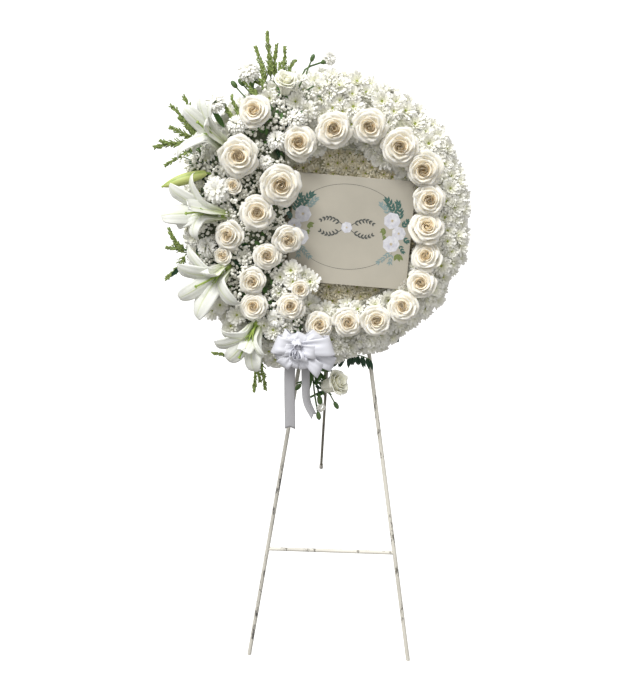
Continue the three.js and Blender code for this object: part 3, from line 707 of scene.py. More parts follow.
def bead(bm, centre, direction, radius, length, slot=0, detail=1, tone=0.5, rough=0.0, rng=None):
    """A small swollen shape such as a bud or a bloom."""
    matrix = stand_on(centre, direction) @ Matrix.Diagonal((radius, radius, length / 2, 1))
    verts = bmesh.ops.create_icosphere(bm, subdivisions=detail, radius=1.0, matrix=matrix)["verts"]
    if rough:
        for v in verts:
            v.co += (v.co - centre) * rng.uniform(-rough, rough)
    finish_faces(bm, verts, slot, tone)


def curve_points(points, count):
    """Evenly numbered points on a smooth line through the given ones."""
    made, last = [], len(points) - 1
    for k in range(count):
        f = k / (count - 1) * last
        i = min(int(f), last - 1)
        f -= i
        p0, p1, p2, p3 = (points[min(max(j, 0), last)] for j in (i - 1, i, i + 1, i + 2))
        square = (2 * p0 - 5 * p1 + 4 * p2 - p3) * f**2
        cube = (3 * p1 - p0 - 3 * p2 + p3) * f**3
        made.append(0.5 * ((2 * p1) + (p2 - p0) * f + square + cube))
    return made


def follow(path, t):
    """The place on a path at t, from 0 to 1, and the path's direction there."""
    f = t * (len(path) - 1)
    i = min(int(f), len(path) - 2)
    return path[i].lerp(path[i + 1], f - i), (path[i + 1] - path[i]).normalized()


def path_length(path):
    """The length of a path."""
    return sum((b - a).length for a, b in zip(path, path[1:]))


def prototype(build):
    """A mesh built once in a petal bmesh, to be stamped many times."""
    bm = new_bm()
    build(bm)
    mesh = bpy.data.meshes.new("prototype")
    bm.to_mesh(mesh)
    bm.free()
    return mesh


def stamp(bm, mesh, matrix, tone=0.5):
    """Adds a copy of a prototype to a mesh."""
    copy = mesh.copy()
    copy.transform(matrix)
    copy.attributes["tone"].data.foreach_set("value", [tone] * len(copy.vertices))
    bm.from_mesh(copy)
    bpy.data.meshes.remove(copy)


def stamp_one_of(bm, meshes, rng, point, direction, size):
    """Adds one of several prototypes, turned and toned at random."""
    stamp(bm, rng.choice(meshes), stand_on(point, direction, rng.uniform(0, TURN), size), rng.random())


def piece(name, bm, materials, body=WREATH, stands_for=(), thickness=0.0, bevel=0.0):
    """A finished piece on its body, with its materials and any wall thickness."""
    mesh = bpy.data.meshes.new(name)
    bm.to_mesh(mesh)
    bm.free()
    made = bpy.data.objects.new(name, mesh)
    bpy.context.scene.collection.objects.link(made)
    for material in materials:
        mesh.materials.append(material)
    if thickness:
        wall = made.modifiers.new("Wall", "SOLIDIFY")
        wall.thickness, wall.offset = thickness, 0.0
    if bevel:
        edge = made.modifiers.new("Edges", "BEVEL")
        edge.width, edge.segments, edge.limit_method = bevel, 2, "ANGLE"
        edge.angle_limit = math.radians(40)
    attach(made, body)
    if stands_for:
        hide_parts(*stands_for)
    return made


def paint_node(node, material):
    """Gives a CAD node its material."""
    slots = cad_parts[node].material_slots
    for slot in slots:
        slot.material = material
    if not slots:
        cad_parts[node].data.materials.append(material)


def jitter(rng, amount):
    """A random offset, up to an amount along each axis."""
    return Vector([rng.uniform(-amount, amount) for _ in range(3)])


def scattered(node, rng, spacing, most, keep):
    """Points and normals spread over the faces of a node that keep accepts, no two closer than spacing."""
    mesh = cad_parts[node].data
    faces = [p for p in mesh.polygons if keep(p.center, p.normal)]
    reach, total = [], 0.0
    for p in faces:
        total += p.area
        reach.append(total)
    cells, found = {}, []
    for _ in range(most * 40):
        # A face is picked by its share of the area, with a search over the running total.
        target = rng.uniform(0, total)
        low, high = 0, len(reach) - 1
        while low < high:
            middle = (low + high) // 2
            low, high = (middle + 1, high) if reach[middle] < target else (low, middle)
        face = faces[low]
        a, b, c = (mesh.vertices[i].co for i in face.vertices[:3])
        r, q = math.sqrt(rng.random()), rng.random()
        point = a * (1 - r) + b * (r * (1 - q)) + c * (r * q)
        # Only the points in this cell and the cells round it can be too close.
        x, y, z = (int(math.floor(value / spacing)) for value in point)
        around = [(x + i, y + j, z + k) for i in (-1, 0, 1) for j in (-1, 0, 1) for k in (-1, 0, 1)]
        if any((p - point).length < spacing for cell in around for p in cells.get(cell, ())):
            continue
        cells.setdefault((x, y, z), []).append(point)
        found.append((point, face.normal.copy()))
        if len(found) >= most:
            break
    return found


# ---------------------------------------------------------------- roses
# Each ring of petals: count, reach and height against the head, width in degrees, how far the rims
# close over the heart or roll back from it, how far the ring winds inwards, and its heart colour.
ROSE_RINGS = (
    (2, 0.09, 0.93, 250, -0.26, 0.30, 1.00),
    (3, 0.18, 0.95, 185, -0.18, 0.24, 1.00),
    (3, 0.29, 0.94, 160, -0.07, 0.18, 0.85),
    (3, 0.41, 0.93, 168, 0.03, 0.14, 0.55),
    (4, 0.56, 0.90, 138, 0.07, 0.11, 0.20),
    (5, 0.76, 0.80, 116, 0.10, 0.09, 0.0),
    (5, 0.94, 0.58, 108, 0.12, 0.07, 0.0),
)


def rose_petals(bm, point, direction, diameter, rng, rings=ROSE_RINGS):
    """An open rose: a wound heart, cupped petals round it and rolled guard petals."""
    radius, height = diameter / 2 * MM, diameter * 0.64 * MM
    pose = stand_on(point, direction, rng.uniform(0, TURN))
    # One heart in three is pressed to a narrow oval.
    oval = rng.choice((rng.uniform(0.86, 1.0), rng.uniform(0.86, 1.0), rng.uniform(0.6, 0.74)))
    drift = Vector((rng.uniform(-0.07, 0.07), rng.uniform(-0.07, 0.07), 0)) * radius
    spin = 0.0
    for ring, (count, reach, top, width, curl, wind, heart) in enumerate(rings):
        spin += 0.9 + rng.uniform(-0.3, 0.3)
        squeeze = oval + (1 - oval) * min(1.0, reach * 1.6)
        for i in range(count):
            turn = spin + TURN * (i + rng.uniform(-0.12, 0.12)) / count
            half = math.radians(width / 2) * rng.uniform(0.92, 1.08)
            wide = reach * rng.uniform(0.95, 1.05)
            tall = top * rng.uniform(0.96, 1.04)
            bend = curl * (rng.uniform(0.6, 1.5) if curl > 0 else 1.0)
            phase = rng.uniform(0, TURN)
            wave = rng.uniform(0.4, 1.0) * (1 + 1.6 * max(0.0, reach - 0.4))
            tip = rng.uniform(0.02, 0.12) if curl > 0 else 0.01
            point_out = rng.choice((0.0, 0.05, 0.12)) if reach > 0.5 else 0.0

            def place(s, t):
                rounded = t * (1 - 0.05 * s * s * t - 0.20 * s**6 * t)
                shut = 1 - min(rounded, 1.0)
                lip = max(0.0, (t - 0.66) / 0.34)
                if bend > 0:  # the rim rolls back
                    foot = 0.06 + 0.42 * wide
                    roll = lip**1.7 * (0.45 + 0.55 * min(1.0, abs(s) * 1.5))
                    r = foot + (wide - foot) * min(rounded, 1.0) ** 1.35 + bend * roll
                    z = tall * (1 - shut**1.7) - bend * 0.55 * lip**2.4 * (0.4 + 0.6 * abs(s))
                else:  # the rim closes over the heart
                    r = 0.06 + (wide - 0.06) * (1 - shut**2.3) * (1 + bend * t**3)
                    z = tall * rounded**1.05
                r *= 1 + wind * s + 0.02 * wave * math.sin(3.1 * s + phase) * t * t
                r += point_out * lip * max(0.0, 1 - 2.6 * abs(s))
                z += tip * lip**2 * max(0.0, 1 - 2.2 * abs(s))
                z += 0.016 * wave * math.sin(3.9 * s + phase * 2) * t**3
                angle = turn + s * half * (0.62 + 0.38 * math.sin(math.pi * min(1.0, 0.15 + 0.6 * t)))
                across, along = r * radius * math.cos(angle) * squeeze, r * radius * math.sin(angle)
                return pose @ (Vector((across, along, z * height)) + drift * (1 - reach))

            def inner(s, t):
                return min(1.0, heart * (1.1 - 0.4 * t))

            sheet(bm, 10 if ring > 2 else 8, 7, place, inner, rng.random())

    # A mass of folded petals fills the cup between the rings.
    outer = rings[-1][1]

    def packed(s, t):
        r, angle = 0.80 * outer * t * radius, math.pi * s
        swell = 0.24 * math.sin(min(1.0, 1.25 * t) * math.pi / 2) ** 2
        z = (0.66 + swell - 0.62 * max(0.0, t - 0.62) ** 1.2) * height * 0.88
        return pose @ (Vector((r * math.cos(angle) * oval, r * math.sin(angle), z)) + drift * (1 - t))

    sheet(bm, 20, 6, packed, lambda s, t: rings[0][-1] * max(0.0, 1 - 1.5 * t), 0.4)


def rose_green(bm, point, direction, diameter, rng, stem_end=None):
    """Sepals under a rose and the short stem that it is wired on."""
    pose = stand_on(point, direction)
    radius = diameter / 2 * MM
    for i in range(5):
        turn = TURN * i / 5 + rng.uniform(-0.2, 0.2)

        def place(s, t):
            z = (-0.02 + 0.10 * t * t) * diameter * MM - 1.2 * MM
            sepal = Vector(((0.12 + 0.62 * t) * radius, 0.2 * (1 - t) ** 0.8 * s * radius, z))
            return pose @ Matrix.Rotation(turn, 4, "Z") @ sepal

        sheet(bm, 2, 4, place, slot=1)
    hip = pose @ Vector((0, 0, -1 * MM))
    bead(bm, hip, direction, diameter * 0.11 * MM, 9 * MM, slot=2)
    end = stem_end or point - direction * 26 * MM
    rod(bm, [hip, (hip + end) / 2, end], 2.2 * MM, slot=2)


class WREATH_OT_roses(Operator):
    """Puts an open rose in place of each rose on the ring, in the cluster and on the loose stems"""

    bl_idname = "wreath.roses"
    bl_label = "Roses"

    def execute(self, context):
        s = looks()

        def rose(name, rng, point, direction, diameter, fullness, petal, rings, node=None, end=None):
            bm = new_bm()
            rose_petals(bm, point, direction, diameter * fullness, rng, rings)
            rose_green(bm, point, direction, diameter, rng, end)
            materials, stands_for = [petal, leaf_green(), stem_green()], [node] if node else ()
            piece(name, bm, materials, stands_for=stands_for, thickness=s.rose_petal_thickness)

        for index, (node, (u, v, w, diameter, right, up)) in enumerate(ROSES.items()):
            rng = random.Random(100 + index)
            direction = facing(right + rng.uniform(-5, 5), up + rng.uniform(-5, 5))
            name, full = node + "_flower", s.rose_fullness
            rose(name, rng, at(u, v, w), direction, diameter, full, rose_petal(), ROSE_RINGS, node)
        for index, (name, (u, v, w, diameter, right, up)) in enumerate(SMALL_ROSES.items()):
            rng, direction = random.Random(150 + index), facing(right, up)
            rose(name, rng, at(u, v, w), direction, diameter, 1.0, rose_petal(), ROSE_RINGS[:6])
        # The loose roses are taller and narrower, with paler hearts.
        rings = [(c, r * 0.95, h * 1.1, wd, cu, wi, ht * 0.35) for c, r, h, wd, cu, wi, ht in ROSE_RINGS[:6]]
        for index, (node, (point, direction, diameter, end)) in enumerate(LOOSE_ROSES.items()):
            rng, name, full = random.Random(200 + index), node + "_flower", s.rose_fullness
            rose(name, rng, point, direction, diameter, full, pale_petal(), rings, node, end)
        return {"FINISHED"}


# ---------------------------------------------------------------- chrysanthemums
# Each tier of petals: count, reach, rise in radians, lift, half width and heart colour.
RING_TIERS = (
    (13, 0.98, 0.08, 0.00, 0.21, 0.3),
    (12, 0.88, 0.36, 0.05, 0.18, 0.4),
    (10, 0.68, 0.70, 0.09, 0.15, 0.6),
    (7, 0.42, 1.05, 0.12, 0.11, 0.9),
)
CENTRE_TIERS = (
    (12, 0.95, 0.22, 0.02, 0.15, 0.6),
    (10, 0.76, 0.60, 0.06, 0.13, 0.8),
    (7, 0.48, 1.00, 0.10, 0.10, 1.0),
)

# Heads set among the roses of the cluster: right, up, height and radius.
MOUND_HEADS = (
    (-62, -98, 96, 23), (-58, -122, 98, 20), (-84, -112, 94, 19), (-22, -122, 86, 22),
    (-36, -108, 84, 18), (-74, -218, 90, 21), (-98, -226, 92, 20), (-118, -216, 92, 18),
    (-176, -196, 90, 20), (-190, -220, 84, 20), (-212, -176, 86, 20), (-228, -190, 78, 20),
    (-36, 226, 84, 21), (-58, 244, 84, 20), (-112, 250, 84, 18), (-196, 18, 92, 16),
    (-160, -72, 94, 16), (-88, -146, 94, 16), (-108, 54, 94, 14), (-200, 108, 92, 16),
)


def on_mound(u, v, w):
    """Whether a place is on the left of the ring, where baby's breath and the cluster cover it."""
    return 100 < math.degrees(math.atan2(v, u)) % 360 < 262 and math.hypot(u, v) < 258 and w > 60


def clear_of_roses(point, share):
    """Whether a point is further from each rose's middle than this share of the rose's radius."""
    u, v, _ = on_wreath(point)
    return all(math.hypot(u - ru, v - rv) > share * d / 2 for ru, rv, _, d, _, _ in ROSES.values())


def chrysanthemum_head(rng, tiers):
    """A flower of radius 1 in tiers of narrow petals round a small dome."""

    def build(bm):
        for count, reach, rise, lift, width, heart in tiers:
            spin = rng.uniform(0, TURN)
            for i in range(count):
                turn = spin + TURN * (i + rng.uniform(-0.25, 0.25)) / count
                long, up = reach * rng.uniform(0.86, 1.1), rise + rng.uniform(-0.14, 0.14)
                wide, twist = width * rng.uniform(0.85, 1.15), rng.uniform(-0.5, 0.5)
                spread = Matrix.Rotation(turn, 4, "Z")

                def place(s, t):
                    r = 0.1 + long * t * math.cos(up * (0.4 + 0.6 * t))
                    z = lift + long * t * math.sin(up * (0.35 + 0.65 * t)) + 0.05 * t * t
                    side = wide * s * (0.45 + 0.9 * t - 0.75 * t**5)
                    return spread @ Vector((r, side, z + side * twist * t))

                sheet(bm, 1, 3, place, lambda s, t: heart * (1 - t) ** 1.5)
        bead(bm, Z * 0.13, Z, 0.14, 0.16, slot=1, rough=0.08, rng=rng)

    return prototype(build)


class WREATH_OT_chrysanthemums(Operator):
    """Covers the ring and its sunken centre with chrysanthemum heads"""

    bl_idname = "wreath.chrysanthemums"
    bl_label = "Chrysanthemums"

    def execute(self, context):
        rng = random.Random(11)
        s = looks()
        beds = (
            ("chrysanthemum_ring", "chrysanthemum bed", (0.86, 0.85, 0.73), (0.58, 0.59, 0.42), 95.0),
            # The centre bed is darker than the ring's, partly as painted shade of the sunken centre.
            ("chrysanthemum_centre", "centre bed", (0.66, 0.61, 0.45), (0.39, 0.37, 0.21), 110.0),
        )
        for node, name, colour, second, scale in beds:
            bed = mottled_material(name, colour, second, scale, roughness=0.9, bump=0.9, depth=4.0)
            paint_node(node, bed)

        def on_ring(point, normal):
            return on_wreath(point)[2] > 24 and normal.dot(OUT) > -0.2

        heads = [chrysanthemum_head(rng, RING_TIERS) for _ in range(5)]
        bm = new_bm()
        for point, normal in scattered("chrysanthemum_ring", rng, s.chrysanthemum_spacing, 900, on_ring):
            u, v, w = on_wreath(point)
            if on_mound(u, v, w) or not clear_of_roses(point, 0.5):
                continue
            lean = (normal + OUT * 0.55 + way(u, v, 0) * 0.1 + jitter(rng, 0.22)).normalized()
            size = s.chrysanthemum_radius * rng.uniform(0.82, 1.1)
            stamp_one_of(bm, heads, rng, point - lean * 2.5 * MM, lean, size)
        for u, v, w, size in MOUND_HEADS:
            lean = facing(rng.uniform(-14, 14), rng.uniform(-14, 14))
            stamp_one_of(bm, heads, rng, at(u, v, w), lean, size * MM)
        piece("chrysanthemum_heads", bm, [chrysanthemum_petal(), eye_green()])

        heads = [chrysanthemum_head(rng, CENTRE_TIERS) for _ in range(3)]
        bm = new_bm()
        on_centre = scattered("chrysanthemum_centre", rng, 17 * MM, 500, lambda p, n: n.dot(OUT) > 0.3)
        for point, normal in on_centre:
            if not clear_of_roses(point, 0.4):
                continue
            lean = (normal + jitter(rng, 0.3)).normalized()
            size = s.chrysanthemum_radius * rng.uniform(0.62, 0.84)
            stamp_one_of(bm, heads, rng, point - lean * 2 * MM, lean, size)
        piece("centre_heads", bm, [centre_petal(), eye_green()])
        return {"FINISHED"}


# ---------------------------------------------------------------- lilies
def lily_petals(bm, base, mouth, tips, rng):
    """Six long petals that rise together from the tube, part at its mouth and curl back at their tips."""
    axis = (mouth - base).normalized()
    for u, v, w, width in tips:
        tip = at(u, v, w)
        radial = (tip - mouth) - axis * (tip - mouth).dot(axis)
        radial.normalize()
        reach = (tip - mouth).length
        side = axis.cross(radial).normalized()
        bends = [
            base + radial * 4 * MM,
            base.lerp(mouth, 0.55) + radial * 7 * MM,
            mouth + radial * reach * 0.16 + axis * 10 * MM,
            mouth.lerp(tip, 0.52) + axis * 17 * MM + radial * 4 * MM,
            mouth.lerp(tip, 0.82) + axis * 10 * MM + radial * 4 * MM,
            tip - axis * 5 * MM,
        ]
        path = curve_points(bends, 17)
        half = width / 2 * MM
        ripple, phase, wring = rng.uniform(0.6, 1.3), rng.uniform(0, TURN), rng.uniform(-0.35, 0.35)

        def place(s, t):
            centre, along = follow(path, t)
            cross = Matrix.Rotation(wring * t, 3, along) @ side
            normal = cross.cross(along).normalized()
            bow = max(0.0, math.sin(math.pi * (0.04 + 0.96 * t) ** 1.12))
            breadth = max(bow**0.8, 0.42 * (1 - 1.2 * t)) if t < 0.5 else bow**1.15
            cup = (0.55 - 0.5 * t) * half * breadth * s * s
            crimp = math.sin(17 * t + phase + (1.3 if s > 0 else 0)) * min(1.0, t * 1.6)
            wave = ripple * 1.5 * MM * s**4 * crimp * breadth
            rib = 1.1 * MM * math.exp(-((s / 0.14) ** 2)) * (1 - t) * breadth
            groove = 0.6 * MM * math.cos(s * 11) * breadth
            return centre + cross * (half * breadth * s) + normal * (cup + wave - rib + groove)

        sheet(bm, 12, 18, place, lambda s, t: max(0.0, 0.9 - 2.6 * t), rng.random())


def lily_middle(bm, base, mouth, end, rng):
    """A pistil with a three-lobed tip and short bare filaments round it."""
    axis = (mouth - base).normalized()
    path = curve_points([base + axis * 10 * MM, mouth, end], 9)
    rod(bm, path, [1.7 * MM] * 7 + [1.4 * MM, 1.8 * MM], 8, 1)
    away = (path[-1] - path[-2]).normalized()
    lobe = away.orthogonal().normalized()
    for i in range(3):
        spot = end + Matrix.Rotation(TURN * i / 3, 3, away) @ lobe * 1.5 * MM
        bead(bm, spot, away, 2.1 * MM, 3.8 * MM, slot=1)
    for i in range(6):
        out = Matrix.Rotation(TURN * (i + 0.5) / 6, 3, axis) @ axis.orthogonal().normalized()
        free = mouth + axis * rng.uniform(10, 16) * MM + out * 9 * MM
        rod(bm, [base + axis * 12 * MM, mouth + out * 4 * MM, free], [0.9 * MM, 0.8 * MM, 0.6 * MM], 5, 1)


def lily_bud(bm, start, middle, end):
    """A long bud of three closed petals, pinched where they meet, on its stem."""
    path = curve_points([start, middle, end], 13)
    for k in range(3):

        def place(side, t):
            centre, along = follow(path, t)
            across = along.cross(OUT).normalized()
            up = across.cross(along)
            angle = TURN * k / 3 + side * math.pi / 3
            swell = 0.2 + 0.8 * math.sin(math.pi * min(1, 0.06 + 0.92 * t)) ** 0.8
            seam = 1 - 0.13 * math.exp(-(((1 - abs(side)) / 0.16) ** 2))
            reach = 12.4 * MM * swell * (1 - 0.55 * t**5) * seam
            return centre + across * (math.cos(angle) * reach) + up * (math.sin(angle) * reach)

        sheet(bm, 8, 12, place, lambda side, t: 0.9 * abs(side) ** 3)
    bmesh.ops.remove_doubles(bm, verts=bm.verts, dist=0.2 * MM)
    rod(bm, [at(-219, 97, 50), at(-226, 98, 80), start], 2.6 * MM, 8, 1)
    bead(bm, end, (end - middle).normalized(), 2.6 * MM, 6 * MM, slot=1)


class WREATH_OT_lilies(Operator):
    """Opens the four lilies on the left and adds their bud"""

    bl_idname = "wreath.lilies"
    bl_label = "Lilies"

    def execute(self, context):
        wall = looks().lily_petal_thickness
        materials = [lily_petal(), lily_green()]
        for index, (node, (line, tips)) in enumerate(LILIES.items()):
            rng = random.Random(300 + index)
            bm = new_bm()
            base, mouth, end = (at(*spot) for spot in line)
            lily_petals(bm, base, mouth, tips, rng)
            lily_middle(bm, base, mouth, end, rng)
            rod(bm, [base.lerp(mouth, 0.3), base, base - OUT * 40 * MM], [6 * MM, 5 * MM, 3 * MM], 8, 1)
            piece(node + "_flower", bm, materials, stands_for=[node], thickness=wall)
        bm = new_bm()
        lily_bud(bm, at(-240, 98, 94), at(-285, 84, 104), at(-328, 69, 108))
        piece("lily_bud_flower", bm, [lily_bud_skin(), lily_green()], stands_for=["lily_bud"])
        return {"FINISHED"}


# ---------------------------------------------------------------- carnations
# Small carnations among the roses: right, up, height and radius.
CARNATIONS = (
    (-176, 196, 98, 19),
    (-226, 240, 74, 21),
    (-95, 168, 96, 18),
    (-58, 212, 88, 18),
    (-93, -200, 94, 18),
    (-240, -54, 92, 20),
    (-254, 170, 78, 14),
    (-118, 122, 94, 14),
)


def carnation_head(bm, centre, direction, radius, rng, slot=0):
    """A ruffled ball: fan petals laid over a dome, each with a crimped, lifted rim."""
    pose = stand_on(centre - direction * radius * 0.35 * MM, direction, rng.uniform(0, TURN), radius * MM)
    # Each tier of petals: how many, and its angle from the middle of the head, in radians.
    for count, polar in ((8, 1.30), (8, 1.02), (7, 0.72), (5, 0.40), (3, 0.10)):
        spin = rng.uniform(0, TURN)
        for i in range(count):
            turn = spin + TURN * (i + rng.uniform(-0.3, 0.3)) / count
            phase, phase2 = rng.uniform(0, TURN), rng.uniform(0, TURN)
            start = polar + rng.uniform(-0.12, 0.12)
            half = 0.42 * rng.uniform(0.85, 1.2)

            def place(s, t):
                crimp = (math.sin(7.5 * s + phase) + 0.5 * math.sin(17 * s + phase2)) * t**1.3
                lean = start + (0.42 + 0.05 * crimp) * t - 0.12 * s * s * t
                r = 0.66 + 0.40 * t**0.8 + 0.085 * crimp
                side = s * half * (0.35 + 0.65 * t)
                spot = Vector((math.sin(lean) * r, side, math.cos(lean) * r * 0.9))
                return pose @ (Matrix.Rotation(turn, 3, "Z") @ spot)

            sheet(bm, 13, 4, place, lambda s, t: 0.5 * (1 - t) ** 2, rng.random(), slot)


def calyx(bm, base, direction, length, radius):
    """The green tube under a carnation."""
    path = [base + direction * length * f * MM for f in (0, 0.3, 0.7, 1.0)]
    rod(bm, path, [radius * f * MM for f in (0.3, 0.85, 1.0, 0.9)], 9, 1)


def budded_stem(bm, points, radius, bud_radius, bud_length, rng, slot=1):
    """A thin stem that ends in a tight bud."""
    path = curve_points(points, 8)
    rod(bm, path, radius * MM, slot=slot)
    along = (path[-1] - path[-2]).normalized()
    bead(bm, path[-1], along, bud_radius * MM, bud_length * MM, slot, 2, rng.random())


class WREATH_OT_carnations(Operator):
    """Ruffled carnations at the left and top, with their buds"""

    bl_idname = "wreath.carnations"
    bl_label = "Carnations"

    def execute(self, context):
        materials = [carnation_petal(), stem_green(), leaf_green()]
        rng = random.Random(401)
        bm = new_bm()
        carnation_head(bm, at(-216, 64, 116), way(-0.05, 0.1, 1), 25, rng)
        calyx(bm, at(-222, 70, 84), OUT, 24, 7)
        rod(bm, [at(-226, 74, 50), at(-222, 70, 88)], 2.2 * MM, slot=1)
        piece("carnation_left_flower", bm, materials, stands_for=["carnation_left"])

        bm = new_bm()
        up = (at(-157, 302, 62) - at(-146, 280, 56)).normalized()
        tube_up = (at(-155, 296, 60) - at(-149, 272, 56)).normalized()
        carnation_head(bm, at(-158, 306, 66), (up * 0.55 + OUT).normalized(), 21, rng)
        calyx(bm, at(-149, 272, 56), tube_up, 26, 7.5)
        root = at(-112, 222, 48)
        budded_stem(bm, [root, at(-134, 252, 52), at(-149, 274, 56)], 2.0, 2.2, 5, rng)
        budded_stem(bm, [root, at(-160, 250, 50), at(-188, 279, 52)], 1.6, 5.6, 19, rng)
        budded_stem(bm, [root, at(-150, 258, 50), at(-173, 283, 52)], 1.6, 5.4, 19, rng)
        piece("carnation_top_flower", bm, materials, stands_for=["carnation_top"])

        bm = new_bm()
        budded_stem(bm, [at(-44, 245, 44), at(-46, 306, 46), at(-8, 326, 46)], 1.9, 2.2, 5, rng)
        calyx(bm, at(-10, 324, 46), (at(8, 333, 46) - at(-10, 324, 46)).normalized(), 17, 6)
        carnation_head(bm, at(10, 335, 48), way(0.6, 0.3, 0.7), 13, rng)
        budded_stem(bm, [at(-46, 250, 44), at(-40, 300, 48), at(-27, 334, 50)], 1.6, 4.8, 17, rng)
        piece("carnation_spray_flower", bm, materials, stands_for=["carnation_spray"])

        bm = new_bm()
        for u, v, w, radius in CARNATIONS:
            tilt = way(u / 500 + rng.uniform(-0.2, 0.2), v / 500 + 0.15, 1)
            carnation_head(bm, at(u, v, w + 12), tilt, radius, rng)
            calyx(bm, at(u, v, w - 16), OUT, 22, 6)
            rod(bm, [at(u, v, 56), at(u, v, w - 12)], 2 * MM, slot=1)
        piece("small_carnations", bm, materials)
        return {"FINISHED"}


# ---------------------------------------------------------------- baby's breath
# Close sprays of blooms: the middle of each, its spread right, up and forward, and how many blooms.
BREATH_SPRAYS = (
    ((-70, 262, 78), (46, 22, 12), 150),
    ((-262, 118, 84), (26, 30, 14), 90),
    ((-40, 238, 80), (28, 16, 8), 60),
)


class WREATH_OT_babys_breath(Operator):
    """Tiny white blooms on thin stems over the dark mound, and the small leaves between them"""

    bl_idname = "wreath.babys_breath"
    bl_label = "Baby's breath"

    def execute(self, context):
        s = looks()
        rng = random.Random(51)
        dark, light = (0.045, 0.075, 0.032), (0.24, 0.26, 0.17)
        shade = mottled_material(
            "mound shade", dark, light, 85.0, amount=0.85, roughness=0.9, bump=0.9, depth=4.0
        )
        paint_node("babys_breath", shade)
        materials = [small_bloom(), stem_green()]

        def bloom(bm):
            bead(bm, Vector(), Z, 1.0, 2.0, rough=0.3, rng=rng)

        def twig(bm):
            rod(bm, [Vector(), Z], [0.05, 0.035], 3, 1)

        blooms, stem = [prototype(bloom) for _ in range(5)], prototype(twig)
        bm = new_bm()
        on_front = scattered("babys_breath", rng, 8.5 * MM, s.breath_sprays, lambda p, n: n.dot(OUT) > -0.35)
        for point, normal in on_front:
            gap = noise.noise(point * 30)
            if gap < -0.30:
                continue
            lift = rng.uniform(0, 14) * (1 + gap)
            for _ in range(rng.randint(3, 6)):
                aside = Vector([rng.gauss(0, 3.6) for _ in range(3)]) * MM
                tip = point + aside + (normal + OUT).normalized() * (lift + rng.uniform(-3, 3)) * MM
                size = s.breath_radius * rng.uniform(0.65, 1.2)
                stamp_one_of(bm, blooms, rng, tip, normal, size)
            stamp(bm, stem, stand_on(point - normal * 2 * MM, normal + OUT, 0, (lift + 2) * MM))
        piece("babys_breath_blooms", bm, materials)

        bm = new_bm()
        for (u, v, w), (du, dv, dw), count in BREATH_SPRAYS:
            for _ in range(count):
                a, b, c = (rng.gauss(0, 0.5) for _ in range(3))
                spot = at(u + a * du, v + b * dv, w + c * dw)
                size = s.breath_radius * rng.uniform(0.7, 1.15)
                stamp_one_of(bm, blooms, rng, spot, OUT, size)
                if rng.random() < 0.5:
                    foot = at(u * 0.96, v * 0.96, w - 22)
                    stamp(bm, stem, stand_on(foot, spot - foot, 0, (spot - foot).length))
        piece("babys_breath_sprays", bm, materials)

        bm = new_bm()
        for point, _ in scattered("babys_breath", rng, 15 * MM, 190, lambda p, n: n.dot(OUT) > -0.2):
            spin = rng.uniform(0, TURN)
            along = (ACROSS * math.cos(spin) + UP * math.sin(spin) + OUT * rng.uniform(0.1, 0.8)).normalized()
            tip = point + along * rng.uniform(14, 25) * MM
            lance_leaf(bm, point, tip, rng.uniform(6, 10), rng, rng.choice((0, 0, 1)))
        piece("mound_leaves", bm, [leaf_green(), dark_leaf()])
        return {"FINISHED"}


# ---------------------------------------------------------------- foliage
def foliage_materials():
    """Sprigs, dark leaves, lighter leaves and stems, in the order of the slot numbers below."""
    return [sprig_green(), dark_leaf(), leaf_green(), stem_green()]


def lance_leaf(bm, root, tip, width, rng, slot=0, fold=0.25, bend=0.12):
    """A pointed leaf folded a little along its midrib and bent along its length."""
    along = tip - root
    side = along.cross(OUT).normalized()
    normal = side.cross(along).normalized()
    curl, phase = rng.uniform(0.5, 1.5) * bend, rng.uniform(0, TURN)

    def place(s, t):
        breadth = math.sin(math.pi * t**0.8) ** 0.8 if t < 0.999 else 0.0
        half = width / 2 * MM * breadth
        lift = fold * half * abs(s) - curl * along.length * t * t + 0.04 * half * math.sin(9 * t + phase)
        return root + along * t + side * (half * s) + normal * lift

    sheet(bm, 4, 7, place, lambda s, t: 0.4 * (1 - abs(s)), rng.random(), slot)


def tufted_sprig(bm, leaflets, root, tip, bend, rng, fullness):
    """A feathery sprig: a thin stem with short side shoots covered in small leaflets."""
    path = curve_points([root, (root + tip) / 2 + bend, tip], 9)
    rod(bm, path, [(1.5 - 1.1 * i / 8) * MM for i in range(9)], 5)
    count = max(10, int(path_length(path) / (2.4 * MM)))
    for i in range(count):
        f = 0.06 + 0.94 * i / (count - 1)
        centre, along = follow(path, f)
        side = along.cross(OUT).normalized() * (1 if i % 2 else -1)
        reach = (15.5 - 10.5 * f) * fullness * rng.uniform(0.5, 1.25) * MM
        shoot = (along * 1.2 + side * rng.uniform(0.2, 1.0) + OUT * rng.uniform(-0.5, 0.6)).normalized()
        for j in range(4):
            spot = centre + shoot * reach * (0.28 + 0.26 * j)
            sway = side * rng.uniform(-0.8, 0.8) + OUT * rng.uniform(-0.4, 0.6)
            lean = (shoot + along * 0.5 + sway).normalized()
            pose = stand_on(spot + lean * 1.5 * MM, lean, rng.uniform(0, TURN), (1.95 - 0.2 * j) * MM)
            stamp(bm, rng.choice(leaflets), pose, rng.random())


